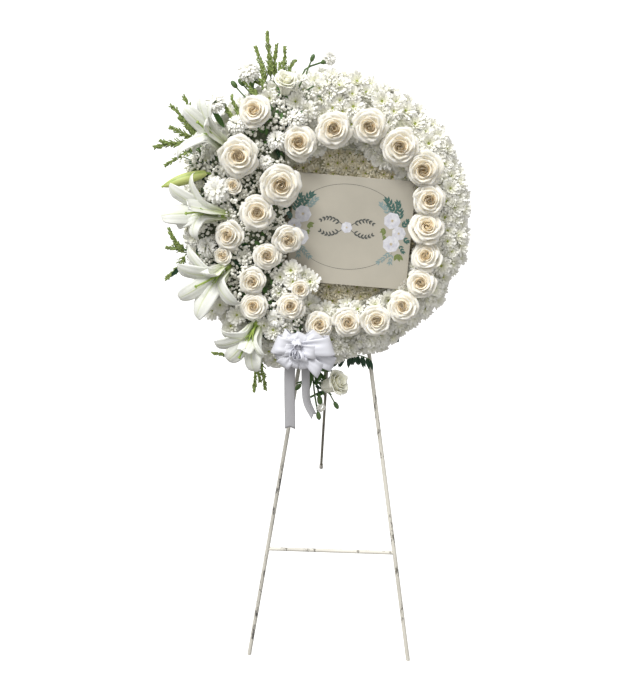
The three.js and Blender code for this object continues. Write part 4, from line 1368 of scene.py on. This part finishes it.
# Feathery sprigs: where each starts and ends, and how full it is.
SPRIGS = {
    "greens_top": (
        ((-122, 284, 46), (-144, 352, 44), 0.75),
        ((-112, 290, 48), (-120, 380, 50), 0.85),
        ((-100, 292, 54), (-101, 356, 56), 0.7),
        ((-92, 292, 46), (-84, 352, 46), 0.75),
        ((-80, 292, 48), (-64, 326, 52), 0.7),
        ((-130, 276, 50), (-162, 322, 46), 0.7),
        ((-104, 296, 60), (-112, 332, 62), 0.8),
        ((-96, 262, 74), (-92, 318, 72), 0.8),
        ((-118, 258, 72), (-128, 312, 70), 0.9),
        ((-134, 252, 70), (-172, 290, 62), 0.7),
        ((-182, 206, 84), (-214, 246, 72), 0.8),
        ((-172, 214, 82), (-190, 252, 72), 0.7),
    ),
    "greens_upper_left": (
        ((-258, 176, 46), (-291, 251, 48), 0.9),
        ((-262, 172, 46), (-318, 233, 50), 1.0),
        ((-266, 168, 50), (-300, 208, 56), 0.9),
        ((-266, 166, 46), (-321, 190, 44), 1.0),
        ((-268, 158, 46), (-354, 150, 46), 1.0),
        ((-290, 158, 50), (-340, 162, 52), 0.8),
        ((-268, 150, 46), (-333, 114, 42), 0.8),
    ),
    "greens_left": (
        ((-292, -66, 46), (-327, -22, 48), 0.9),
        ((-292, -70, 46), (-330, -60, 46), 0.9),
        ((-292, -74, 46), (-332, -124, 46), 0.9),
        ((-296, -64, 50), (-318, -40, 52), 0.8),
    ),
    "greens_lower_left": (
        ((-172, -284, 46), (-230, -288, 46), 0.8),
        ((-140, -288, 46), (-142, -366, 52), 0.75),
        ((-132, -288, 46), (-118, -362, 48), 0.75),
        ((-136, -292, 50), (-130, -344, 52), 0.7),
    ),
}

# Leaves beside the sprigs: root, tip, width and slot.
SPRIG_LEAVES = {
    "greens_upper_left": (
        ((-212, 178, 70), (-292, 214, 60), 15, 1),
        ((-205, 190, 72), (-236, 236, 66), 12, 2),
    ),
    "greens_left": (((-296, -96, 60), (-329, -126, 50), 9, 1),),
}

# Fronds of the fern: root, tip, leaflets and their length.
FRONDS = (
    ((80, -288, 26), (34, -293, 34), 9, 30),
    ((74, -288, 26), (110, -298, 22), 8, 27),
    ((134, -256, 24), (166, -246, 24), 4, 13),
)

# The stems below the bow: the leaves at their foot (root, tip, width, slot), then the stems themselves
# (middle, tip, radius, bud radius and bud length) and the small leaves on them (root and tip).
HANGING_FOOT = (-16, -312, 40)
HANGING_LEAVES = (
    (HANGING_FOOT, (-24, -372, 46), 11, 2),
    (HANGING_FOOT, (22, -352, 38), 10, 2),
    (HANGING_FOOT, (30, -322, 44), 13, 2),
    (HANGING_FOOT, (2, -344, 50), 11, 2),
    ((-10, -290, 50), (28, -306, 56), 15, 1),
    ((0, -286, 52), (46, -292, 54), 13, 2),
)
HANGING_STEMS = (
    ((-30, -338, 46), (-46, -358, 46), 1.7, 5.2, 19),
    ((14, -356, 48), (38, -396, 50), 1.7, 5.2, 19),
    ((-10, -370, 50), (0, -420, 52), 1.9, 5.6, 20),
    ((-4, -356, 48), (2, -386, 50), 2.0, 6.2, 24),
)
STEM_LEAVES = (
    ((-26, -342, 46), (-54, -352, 44)),
    ((-6, -372, 50), (-30, -386, 48)),
    ((16, -362, 49), (40, -366, 48)),
)


class WREATH_OT_foliage(Operator):
    """Feathery sprigs and lance leaves round the edge of the wreath"""

    bl_idname = "wreath.foliage"
    bl_label = "Foliage"

    def execute(self, context):
        rng = random.Random(600)

        def leaflet(bm):
            bead(bm, Vector(), Z, 1.0, 3.8, rough=0.22, rng=rng)

        leaflets = [prototype(leaflet) for _ in range(4)]
        for node, stems in SPRIGS.items():
            bm = new_bm()
            for root, tip, fullness in stems:
                start, end = at(*root), at(*tip)
                rod(bm, [at(root[0] * 0.84, root[1] * 0.84, 46), start], [1.8 * MM, 1.6 * MM], slot=3)
                bend = (end - start).cross(OUT).normalized() * rng.uniform(-6, 6) * MM
                tufted_sprig(bm, leaflets, start, end, bend, rng, fullness)
            for root, tip, width, slot in SPRIG_LEAVES.get(node, ()):
                lance_leaf(bm, at(*root), at(*tip), width, rng, slot)
            piece(node + "_foliage", bm, foliage_materials(), stands_for=[node])
        return {"FINISHED"}


class WREATH_OT_hanging_foliage(Operator):
    """The fern at the lower right and the budded stems under the bow"""

    bl_idname = "wreath.hanging_foliage"
    bl_label = "Hanging foliage"

    def execute(self, context):
        rng = random.Random(71)
        bm = new_bm()
        rod(bm, [at(76, -228, 28), at(78, -290, 26)], 2 * MM, slot=3)
        for start, end, count, long in FRONDS:
            path = curve_points([at(*start), (at(*start) + at(*end)) / 2 + UP * 3 * MM, at(*end)], 12)
            rod(bm, path, 1.4 * MM, 5, 3)
            forward = (path[-1] - path[0]).normalized()
            for i in range(count):
                foot = path[1 + int(10 * i / (count - 1))]
                drop = -UP * 1.6 + forward * rng.uniform(0.2, 0.7) + OUT * rng.uniform(-0.2, 0.3)
                tip = foot + drop.normalized() * long * rng.uniform(0.8, 1.1) * MM
                lance_leaf(bm, foot, tip, 7.5, rng, 1, 0.2, 0.06)
        rod(bm, [at(124, -224, 24), at(134, -256, 24)], 1.8 * MM, 5, 3)
        piece("fern_leaf_foliage", bm, foliage_materials(), stands_for=["fern_leaf"])

        bm = new_bm()
        foot = at(*HANGING_FOOT)
        rod(bm, [at(-14, -240, 44), at(-16, -280, 42), foot], 2.2 * MM, slot=3)
        for root, tip, width, slot in HANGING_LEAVES:
            lance_leaf(bm, at(*root), at(*tip), width, rng, slot)
        for middle, tip, radius, bud_radius, bud_length in HANGING_STEMS:
            budded_stem(bm, [foot, at(*middle), at(*tip)], radius, bud_radius, bud_length, rng, 3)
        for _ in range(16):
            root = at(rng.uniform(-22, 14), rng.uniform(-372, -306), rng.uniform(42, 54))
            aim = way(rng.uniform(-0.7, 0.9), rng.uniform(-1, 0.1), rng.uniform(-0.3, 0.4))
            tip = root + aim * rng.uniform(14, 26) * MM
            lance_leaf(bm, root, tip, rng.uniform(4.5, 8), rng, rng.choice((1, 2, 2)))
        for root, tip in STEM_LEAVES:
            lance_leaf(bm, at(*root), at(*tip), 5, rng, 2)
        carnation_head(bm, at(6, -403, 52), way(0.5, -0.4, 0.7), 10, rng, 4)
        materials = [*foliage_materials(), carnation_petal()]
        piece("hanging_stems_foliage", bm, materials, stands_for=["hanging_stems"])
        return {"FINISHED"}


# ---------------------------------------------------------------- ribbon
# Loops of the bow: turn round the knot in degrees, length, depth, width, and how far each leans forward.
BOW_LOOPS = {
    "left": (
        (170, 50, 24, 40, 0.35),
        (202, 50, 20, 34, 0.05),
        (230, 50, 18, 30, 0.3),
        (254, 42, 15, 27, 0.5),
        (142, 42, 18, 32, 0.0),
        (110, 32, 14, 28, 0.5),
        (186, 36, 18, 28, 0.9),
    ),
    "right": (
        (6, 74, 26, 42, 0.3),
        (-24, 84, 20, 32, 0.0),
        (-44, 70, 18, 30, 0.3),
        (-66, 48, 15, 27, 0.5),
        (34, 54, 18, 32, 0.05),
        (70, 34, 14, 28, 0.5),
        (-8, 46, 20, 30, 0.9),
    ),
}

# Small loops at the knot: turn and length.
KNOT_LOOPS = ((72, 24), (-58, 36), (-92, 32), (-126, 30), (112, 22))

# Tails: the places that each hangs through, its width, and how far it twists in radians.
BOW_TAILS = {
    "left": (
        (
            (-50, -266, 108),
            (-58, -284, 104),
            (-61, -304, 103),
            (-62, -332, 97),
            (-62, -384, 87),
            (-61, -446, 76),
        ),
        23,
        0.0,
    ),
    "right": (
        (
            (-38, -266, 106),
            (-30, -284, 103),
            (-28, -304, 101),
            (-27, -336, 95),
            (-24, -380, 87),
            (-8, -415, 80),
        ),
        18,
        0.75,
    ),
}


def ribbon_loop(bm, centre, direction, face, length, depth, width, rng):
    """A loop of ribbon that leaves the knot, turns over and comes back, gathered; gives its length in mm."""
    side = direction.cross(face).normalized()
    phase, phase2 = rng.uniform(0, TURN), rng.uniform(0, TURN)

    def place(s, t):
        out = (1 - math.cos(TURN * t)) / 2
        height = math.sin(TURN * t) * (0.45 + 0.55 * out)
        spread = width / 2 * (0.3 + 0.7 * math.sin(math.pi * t) ** 0.7)
        crown = -0.09 * s * s * width * out * (1 if t < 0.5 else -1)
        fold = (2.6 * math.sin(4.6 * s + phase) + 1.4 * math.sin(8.5 * s + phase2)) * (1 - out) ** 0.7
        fold += 1.2 * math.sin(3.1 * s + 2.2 * phase) * math.sin(7 * t + phase2)
        reach = length * out * (1 + 0.10 * s * math.sin(phase))
        lift = depth * height + crown + fold
        return centre + (direction * reach + face * lift + side * (s * spread)) * MM

    # The tone sets how much painted shade the satin shows: a little on each loop, varied at random.
    sheet(bm, 12, 30, place, tone=0.85 + 0.15 * rng.random())
    return 2.15 * math.hypot(length, depth)


class WREATH_OT_bow(Operator):
    """The satin bow: looped ribbon gathered at a knot, with two tails"""

    bl_idname = "wreath.bow"
    bl_label = "Bow"

    def execute(self, context):
        satin = [satin_material()]
        wall = looks().satin_thickness
        knot = at(-45, -258, 116)
        for index, (hand, rows) in enumerate(BOW_LOOPS.items()):
            rng = random.Random(800 + index)
            bm = new_bm()
            total = 0.0
            for turn, length, depth, width, lean in rows:
                a = math.radians(turn)
                direction = way(math.cos(a), math.sin(a), lean * 0.5)
                face = (OUT - direction * OUT.dot(direction)).normalized()
                total += ribbon_loop(bm, knot, direction, face, length, depth, width, rng)
            made = piece(
                "bow_loops_" + hand, bm, satin, stands_for=["bow_loop_" + hand], thickness=wall
            )

        rng = random.Random(820)
        bm = new_bm()

        def wrap(side, t):
            angle = TURN * t
            r = 9 + 1.6 * math.sin(5 * side + 1) + 1.0 * math.sin(3 * angle)
            out, rise = math.sin(angle) * (r + 4) + 6, side * 15 + 2 * math.sin(angle)
            return knot + (ACROSS * (math.cos(angle) * r) + OUT * out + UP * rise) * MM

        # Tone 0.9 gives the knot a little painted shade.
        sheet(bm, 10, 24, wrap, tone=0.9)
        bmesh.ops.remove_doubles(bm, verts=bm.verts, dist=0.05 * MM)
        for turn, length in KNOT_LOOPS:
            a = math.radians(turn)
            direction, face = way(math.cos(a), math.sin(a), 0.9), way(-math.sin(a), math.cos(a), 0.4)
            ribbon_loop(bm, knot + OUT * 6 * MM, direction, face, length, 9, 22, rng)
        rod(bm, [at(-45, -250, 46), at(-45, -256, 80), knot], [2 * MM, 2.4 * MM, 4 * MM], 8)
        piece("bow_knot_satin", bm, satin, stands_for=["bow_knot"], thickness=wall)

        for index, (hand, (route, width, twist)) in enumerate(BOW_TAILS.items()):
            path = curve_points([at(*p) for p in route], 25)
            length = path_length(path)
            bm = new_bm()

            def place(side, t):
                centre, along = follow(path, t)
                across = along.cross(OUT).normalized() * -1
                angle = twist * t + 0.16 * math.sin(5 * t + index)
                across = across * math.cos(angle) + across.cross(along) * math.sin(angle)
                gather = 0.45 + 0.55 * min(1.0, t * 5)
                notch = (0.5 - abs(side) * 0.5) * 12 * MM * max(0.0, (t - 0.9) / 0.1)
                curl = (1.6 * side * side + 0.8 * math.sin(6 * t + 2 * side)) * MM
                reach = side * width / 2 * gather * MM
                return centre - along * notch + across * reach + across.cross(along) * curl

            # Tone 0.2 paints the tails in painted shade.
            sheet(bm, 8, 36, place, tone=0.2)
            made = piece(
                "bow_tail_" + hand, bm, satin, stands_for=["ribbon_tail_" + hand], thickness=wall
            )
        return {"FINISHED"}


# ---------------------------------------------------------------- card
def card_frame():
    """The card's front centre, its own right and up, and its width and height, from its node."""
    spots = [v.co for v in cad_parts["message_card"].data.vertices]
    front = max(on_wreath(p)[2] for p in spots)
    face = [p for p in spots if on_wreath(p)[2] > front - 0.5]
    top = max(face, key=lambda p: on_wreath(p)[1])
    right = max(face, key=lambda p: on_wreath(p)[0])
    bottom = min(face, key=lambda p: on_wreath(p)[1])
    along, down = right - top, bottom - right
    return (top + bottom) / 2, along.normalized(), -down.normalized(), along.length / MM, down.length / MM


# Printed inks, in the order of their slots: name, colour, second colour and patches in a metre.
INK, TEAL, GREEN, MIST, BLOSSOM, BLOSSOM_HEART = range(6)
PRINTS = (
    ("oval ink", (0.055, 0.060, 0.055), (0.10, 0.105, 0.095), 160.0),
    ("printed leaf", (0.028, 0.085, 0.070), (0.075, 0.16, 0.135), 500.0),
    ("printed green", (0.13, 0.17, 0.045), (0.21, 0.25, 0.09), 500.0),
    ("printed mist leaf", (0.29, 0.36, 0.35), (0.17, 0.25, 0.25), 500.0),
    ("printed blossom", (0.72, 0.72, 0.74), (0.54, 0.54, 0.60), 110.0),
    ("printed blossom heart", (0.48, 0.38, 0.22), (0.62, 0.55, 0.40), 400.0),
)

# The thin rule on the card: the oval's middle, its radii, and the angles of its two arcs.
OVAL_MIDDLE = (-9.0, 8.5)
OVAL_RADII = (117, 88)
OVAL_ARCS = ((28, 152), (212, 328))

# Printed sprays on each side: right and up of the side's middle, angle, pairs of leaves, a leaf's length
# and width, ink, step between pairs, height above the card, and how far the spray turns at each pair.
CARD_SIDE = 101
CARD_SPRAYS = (
    (-2, 26, 108, 5, 15, 5.2, TEAL, 7.2, 0.17, 5),
    (8, 18, 92, 5, 14, 5.0, TEAL, 7.0, 0.16, 4),
    (-14, 30, 124, 4, 12, 4.6, MIST, 6.5, 0.15, 4),
    (12, 4, 58, 3, 10, 4.4, TEAL, 6.0, 0.165, 0),
    (14, -12, -30, 2, 10, 4.4, TEAL, 6.0, 0.165, 0),
    (10, -26, -58, 3, 9, 3.6, TEAL, 5.5, 0.165, 0),
    (-12, 4, 206, 1, 13, 7.6, GREEN, 9.0, 0.17, 0),
    (-14, -8, 232, 1, 10, 6.0, GREEN, 7.0, 0.175, 0),
    (6, -40, -68, 1, 17, 8.2, GREEN, 8.0, 0.17, 0),
    (-6, -40, -118, 5, 11, 3.4, MIST, 6.5, 0.15, -5),
    (-2, -44, -98, 3, 11, 3.4, MIST, 6.5, 0.155, 0),
)

# Printed flowers on each side: right, up, size and height above the card.
CARD_FLOWERS = ((-8, 20, 18, 0.20), (8, -5, 15, 0.26), (-6, -28, 18, 0.22))


class WREATH_OT_card(Operator):
    """The blank message card with its thin oval rule, printed sprigs and a small ornament"""

    bl_idname = "wreath.card"
    bl_label = "Card"

    def execute(self, context):
        rng = random.Random(91)
        centre, right, up, width, height = card_frame()

        def on(x, y, z=0.0):
            """A place in millimetres right and up of the card's middle, and above its face."""
            return centre + (right * x + up * y + OUT * z) * MM

        def printed(x, y, z):
            """The same, from the middle of the print."""
            return on(OVAL_MIDDLE[0] + x, OVAL_MIDDLE[1] + y, z)

        bm = bmesh.new()
        turn = Matrix((right, up, OUT)).transposed().to_4x4()
        size = Matrix.Diagonal((width * MM, height * MM, 3 * MM, 1))
        bmesh.ops.create_cube(bm, size=1.0, matrix=Matrix.Translation(on(0, 0, -1.5)) @ turn @ size)
        bmesh.ops.bevel(
            bm, geom=bm.edges[:], offset=0.5 * MM, affect="EDGES", segments=2, profile=0.5, material=-1
        )
        piece("message_card_board", bm, [card_material()], stands_for=["message_card"])

        bm = new_bm()
        for start, end in OVAL_ARCS:

            def rule(s, t):
                a = math.radians(start + (end - start) * t)
                wide, tall = (radius + 0.38 * s for radius in OVAL_RADII)
                return printed(wide * math.cos(a), tall * math.sin(a), 0.14)

            sheet(bm, 1, 40, rule, slot=INK)

        def leaf(x, y, angle, length, broad, slot, z, power=0.8):
            a = math.radians(angle)
            ca, sa = math.cos(a), math.sin(a)

            def place(s, t):
                half = broad / 2 * math.sin(math.pi * min(1.0, t**power)) * s if t < 0.999 else 0.0
                return printed(x + ca * length * t - sa * half, y + sa * length * t + ca * half, z)

            sheet(bm, 2, 6, place, tone=rng.random(), slot=slot)

        def spray(x, y, angle, count, length, broad, slot, step, z, bend):
            for i in range(count):
                a = math.radians(angle + bend * i)
                x, y = x + math.cos(a) * step, y + math.sin(a) * step
                for sign in (-1, 1):
                    turned = angle + bend * i + sign * rng.uniform(26, 46)
                    leaf(x, y, turned, length * rng.uniform(0.75, 1.1), broad, slot, z + rng.uniform(0, 0.02))
            leaf(x, y, angle + bend * count, length, broad, slot, z)

        def flower(x, y, size, z):
            for ring, (count, reach) in enumerate(((7, 1.0), (6, 0.78), (5, 0.54), (3, 0.32))):
                for i in range(count):
                    a = 360 * (i + 0.5 * ring) / count + rng.uniform(-8, 8)
                    rise = z + 0.05 * ring + 0.006 * i
                    leaf(x, y, a, size * reach, size * 0.95 * reach, BLOSSOM, rise, 1.7)
            for i in range(5):
                leaf(x, y, 72 * i + 20, size * 0.2, size * 0.14, BLOSSOM_HEART, z + 0.24)

        for side in (-1, 1):
            for x, y, angle, count, length, broad, slot, step, z, bend in CARD_SPRAYS:
                turned = angle if side > 0 else 180 - angle
                x = (CARD_SIDE + x) * side
                spray(x, y, turned, count, length, broad, slot, step, z, bend * side)
            for x, y, size, z in CARD_FLOWERS:
                flower((CARD_SIDE + x) * side, y, size, z)

        # Four leafy vines, mirrored round a small flower.
        for sign in (-1, 1):
            for rise in (-1, 1):

                def vine(t):
                    return sign * (9 + 44 * t), rise * (5 + 13 * math.sin(2.5 * t)) - 1

                def line(s, t):
                    x, y = vine(t)
                    return printed(x, y + s * (1.0 - 0.6 * t), 0.14)

                sheet(bm, 1, 20, line, slot=INK)
                for k in range(1, 7):
                    x, y = vine(k / 6)
                    for lean in (52 - 9 * k, -22 - 9 * k):
                        leaf(x, y, 90 - 90 * sign + sign * rise * lean, 10.5 - 0.6 * k, 3.6, INK, 0.16)
        flower(0, -1, 12, 0.2)
        piece("card_print", bm, [print_material(*row) for row in PRINTS])

        bm = new_bm()
        rod(bm, [at(60, -16, 12), at(60, -16, 75)], 1.6 * MM, 10)
        dark, light = (0.30, 0.20, 0.10), (0.42, 0.30, 0.16)
        wood = mottled_material("pick wood", light, dark, 120.0, bump=0.4, depth=0.5)
        piece("card_pick_stick", bm, [wood], stands_for=["card_pick"])
        return {"FINISHED"}


# ---------------------------------------------------------------- stand and base
def smoothed(node, name, material, body, bevel):
    """A merged, smooth-sided copy of a node with softened edges, which stands for it."""
    bm = bmesh.new()
    bm.from_mesh(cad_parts[node].data)
    bmesh.ops.remove_doubles(bm, verts=bm.verts, dist=0.01 * MM)
    for edge in bm.edges:
        if len(edge.link_faces) == 2:
            edge.smooth = edge.calc_face_angle() < math.radians(50)
    for face in bm.faces:
        face.smooth, face.material_index = True, 0
    piece(name, bm, [material], body, [node], bevel=bevel)


class WREATH_OT_stand(Operator):
    """The folding easel in worn white paint, darker on the left front and rear legs as painted shade, and the
    board and foam behind the flowers
    """

    bl_idname = "wreath.stand"
    bl_label = "Stand"

    def execute(self, context):
        paint = looks().paint
        # The left front leg and the rear leg are darkened as painted shade, paint and bare metal both; their
        # chips and grime are wear.
        bare, bare_left_shaded, bare_rear_shaded = (0.13, 0.12, 0.10), (0.09, 0.085, 0.08), (0.07, 0.06, 0.05)
        white = paint_material("worn white paint", paint, scaled(paint, 0.60), bare, 0.9)
        # Painted shade: the left front leg's paint is darker than the other white paint, over real scuffs and
        # chips.
        scuffed_and_shaded = paint_material(
            "scuffed white paint", scaled(paint, 0.78), scaled(paint, 0.40), bare_left_shaded, 1.0
        )
        # Painted shade: the rear leg's paint, grime and bare metal are dark grey, over real chips.
        grey = paint_material("rear leg paint in painted shade", (0.20, 0.185, 0.14), (0.13, 0.12, 0.095), bare_rear_shaded, 0.7)
        steel = mottled_material(
            "bolt steel", (0.42, 0.42, 0.41), (0.28, 0.27, 0.26), 160.0, 0.8,
            roughness=0.35, depth=0.3, metallic=1.0,
        )
        rubber = mottled_material(
            "foot cap", (0.62, 0.60, 0.55), (0.46, 0.44, 0.40), 140.0, 0.9,
            roughness=0.75, bump=0.5, depth=0.6,
        )
        board = mottled_material(
            "fibreboard", (0.42, 0.32, 0.20), (0.30, 0.22, 0.13), 70.0, roughness=0.8, bump=0.5, depth=0.8
        )
        foam = mottled_material(
            "white foam", (0.76, 0.76, 0.70), (0.66, 0.66, 0.59), 260.0, roughness=0.95, bump=0.8, depth=1.2
        )
        smoothed("leg_front_left", "leg_front_left_painted", scuffed_and_shaded, WREATH, 0.4 * MM)
        for node in ("leg_front_right", "cross_bar", "top_bracket", "hook_left", "hook_right"):
            smoothed(node, node + "_painted", white, WREATH, 0.4 * MM)
        smoothed("leg_rear", "leg_rear_painted", grey, LEG, 0.4 * MM)
        smoothed("foot_cap_rear", "foot_cap_rear_rubber", rubber, LEG, 0.5 * MM)
        smoothed("pivot_bolt", "pivot_bolt_steel", steel, WREATH, 0.3 * MM)
        smoothed("backing_board", "backing_board_sheet", board, WREATH, 0.5 * MM)
        paint_node("foam_base", foam)
        return {"FINISHED"}


# ---------------------------------------------------------------- stage
# The camera: its place in metres, its yaw, pitch and roll in degrees, and its lens in millimetres.
CAMERA_PLACE = (0.0834325, -2.196098, 1.5)
CAMERA_TURN = (-2.235, 22.3, 0.585)
CAMERA_LENS = 47.571

# Lamps: name, kind, power, place, what it points at, and its angle in radians or its size.
LAMPS = (
    ("key", "SUN", 3.05, (-1.25, -1.3, 3.5), (0, 0, 0.6), {"angle": math.radians(30)}),
    ("fill", "AREA", 6.0, (2.2, -2.6, 1.8), (0, -0.2, 1.0), {"size": 2.4}),
)
WORLD_LIGHT, WORLD_SEEN = 0.65, 0.5  # the background's strength, and what the camera sees on top of it


class WREATH_OT_stage(Operator):
    """A pale floor, soft lights and the camera"""

    bl_idname = "wreath.stage"
    bl_label = "Stage"

    def execute(self, context):
        scene = context.scene
        scene.view_settings.view_transform = "Standard"
        bm = bmesh.new()
        bmesh.ops.create_grid(bm, x_segments=1, y_segments=1, size=60.0)
        mesh = bpy.data.meshes.new("floor")
        bm.to_mesh(mesh)
        bm.free()
        floor = bpy.data.objects.new("floor", mesh)
        scene.collection.objects.link(floor)

        def pale(tree, shader):
            cloud = grain(tree, own_place(tree), 0.6, 3.0)
            colour = mixed(tree, cloud, (0.24, 0.235, 0.23), (0.265, 0.26, 0.25))
            tree.links.new(colour, shader.inputs["Base Color"])
            settle(shader, {"Roughness": 0.9, "Specular IOR Level": 0.1, "Emission Color": (1, 1, 1, 1)})
            seen = add(tree, "LightPath").outputs["Is Camera Ray"]
            tree.links.new(seen, shader.inputs["Emission Strength"])

        mesh.materials.append(new_material("pale floor", pale))

        world = bpy.data.worlds.new("soft studio")
        world.use_nodes = True
        tree = world.node_tree
        background = tree.nodes["Background"]
        background.inputs["Color"].default_value = (1.0, 0.995, 0.985, 1)
        seen = add(tree, "LightPath").outputs["Is Camera Ray"]
        tree.links.new(plus(tree, WORLD_LIGHT, times(tree, seen, WORLD_SEEN)), background.inputs["Strength"])
        scene.world = world

        for name, kind, power, place, target, settings in LAMPS:
            light = bpy.data.lights.new(name, kind)
            light.energy = power
            for key, value in settings.items():
                setattr(light, key, value)
            lamp = bpy.data.objects.new(name, light)
            lamp.location = place
            lamp.rotation_euler = (Vector(target) - Vector(place)).to_track_quat("-Z", "Y").to_euler()
            scene.collection.objects.link(lamp)

        yaw, pitch, roll = (math.radians(angle) for angle in CAMERA_TURN)
        forward = Vector((math.sin(yaw) * math.cos(pitch), math.cos(yaw) * math.cos(pitch), -math.sin(pitch)))
        level = Vector((math.cos(yaw), -math.sin(yaw), 0))
        above = level.cross(forward)
        side = level * math.cos(roll) + above * math.sin(roll)
        top = -level * math.sin(roll) + above * math.cos(roll)
        data = bpy.data.cameras.new("camera")
        data.lens, data.sensor_width = CAMERA_LENS, 36.0
        camera = bpy.data.objects.new("camera", data)
        turn = Matrix((side, top, -forward)).transposed().to_4x4()
        camera.matrix_world = Matrix.Translation(CAMERA_PLACE) @ turn
        scene.collection.objects.link(camera)
        scene.camera = camera
        return {"FINISHED"}


class WREATH_PT_panel(Panel):
    """Lists the wreath's pieces"""

    bl_idname = "WREATH_PT_panel"
    bl_label = "Sympathy wreath"
    bl_space_type = "VIEW_3D"
    bl_region_type = "UI"
    bl_category = "Wreath"

    def draw(self, context):
        for operator in OPERATORS:
            self.layout.operator(operator.bl_idname)
        for name in WreathLooks.__annotations__:
            self.layout.prop(context.scene.wreath_looks, name)


OPERATORS = (
    WREATH_OT_stage,
    WREATH_OT_stand,
    WREATH_OT_chrysanthemums,
    WREATH_OT_roses,
    WREATH_OT_lilies,
    WREATH_OT_carnations,
    WREATH_OT_babys_breath,
    WREATH_OT_foliage,
    WREATH_OT_hanging_foliage,
    WREATH_OT_bow,
    WREATH_OT_card,
)
CLASSES = (WreathLooks, *OPERATORS, WREATH_PT_panel)


def register():
    """Adds the settings, operators and panel."""
    for cls in CLASSES:
        bpy.utils.register_class(cls)
    bpy.types.Scene.wreath_looks = PointerProperty(type=WreathLooks)


def unregister():
    """Takes them away again."""
    del bpy.types.Scene.wreath_looks
    for cls in reversed(CLASSES):
        bpy.utils.unregister_class(cls)


def main():
    """Builds the stage and each piece."""
    register()
    for operator in OPERATORS:
        area, name = operator.bl_idname.split(".")
        getattr(getattr(bpy.ops, area), name)()
    for mesh in [m for m in bpy.data.meshes if m.users == 0]:
        bpy.data.meshes.remove(mesh)


if __name__ == "__main__":
    main()
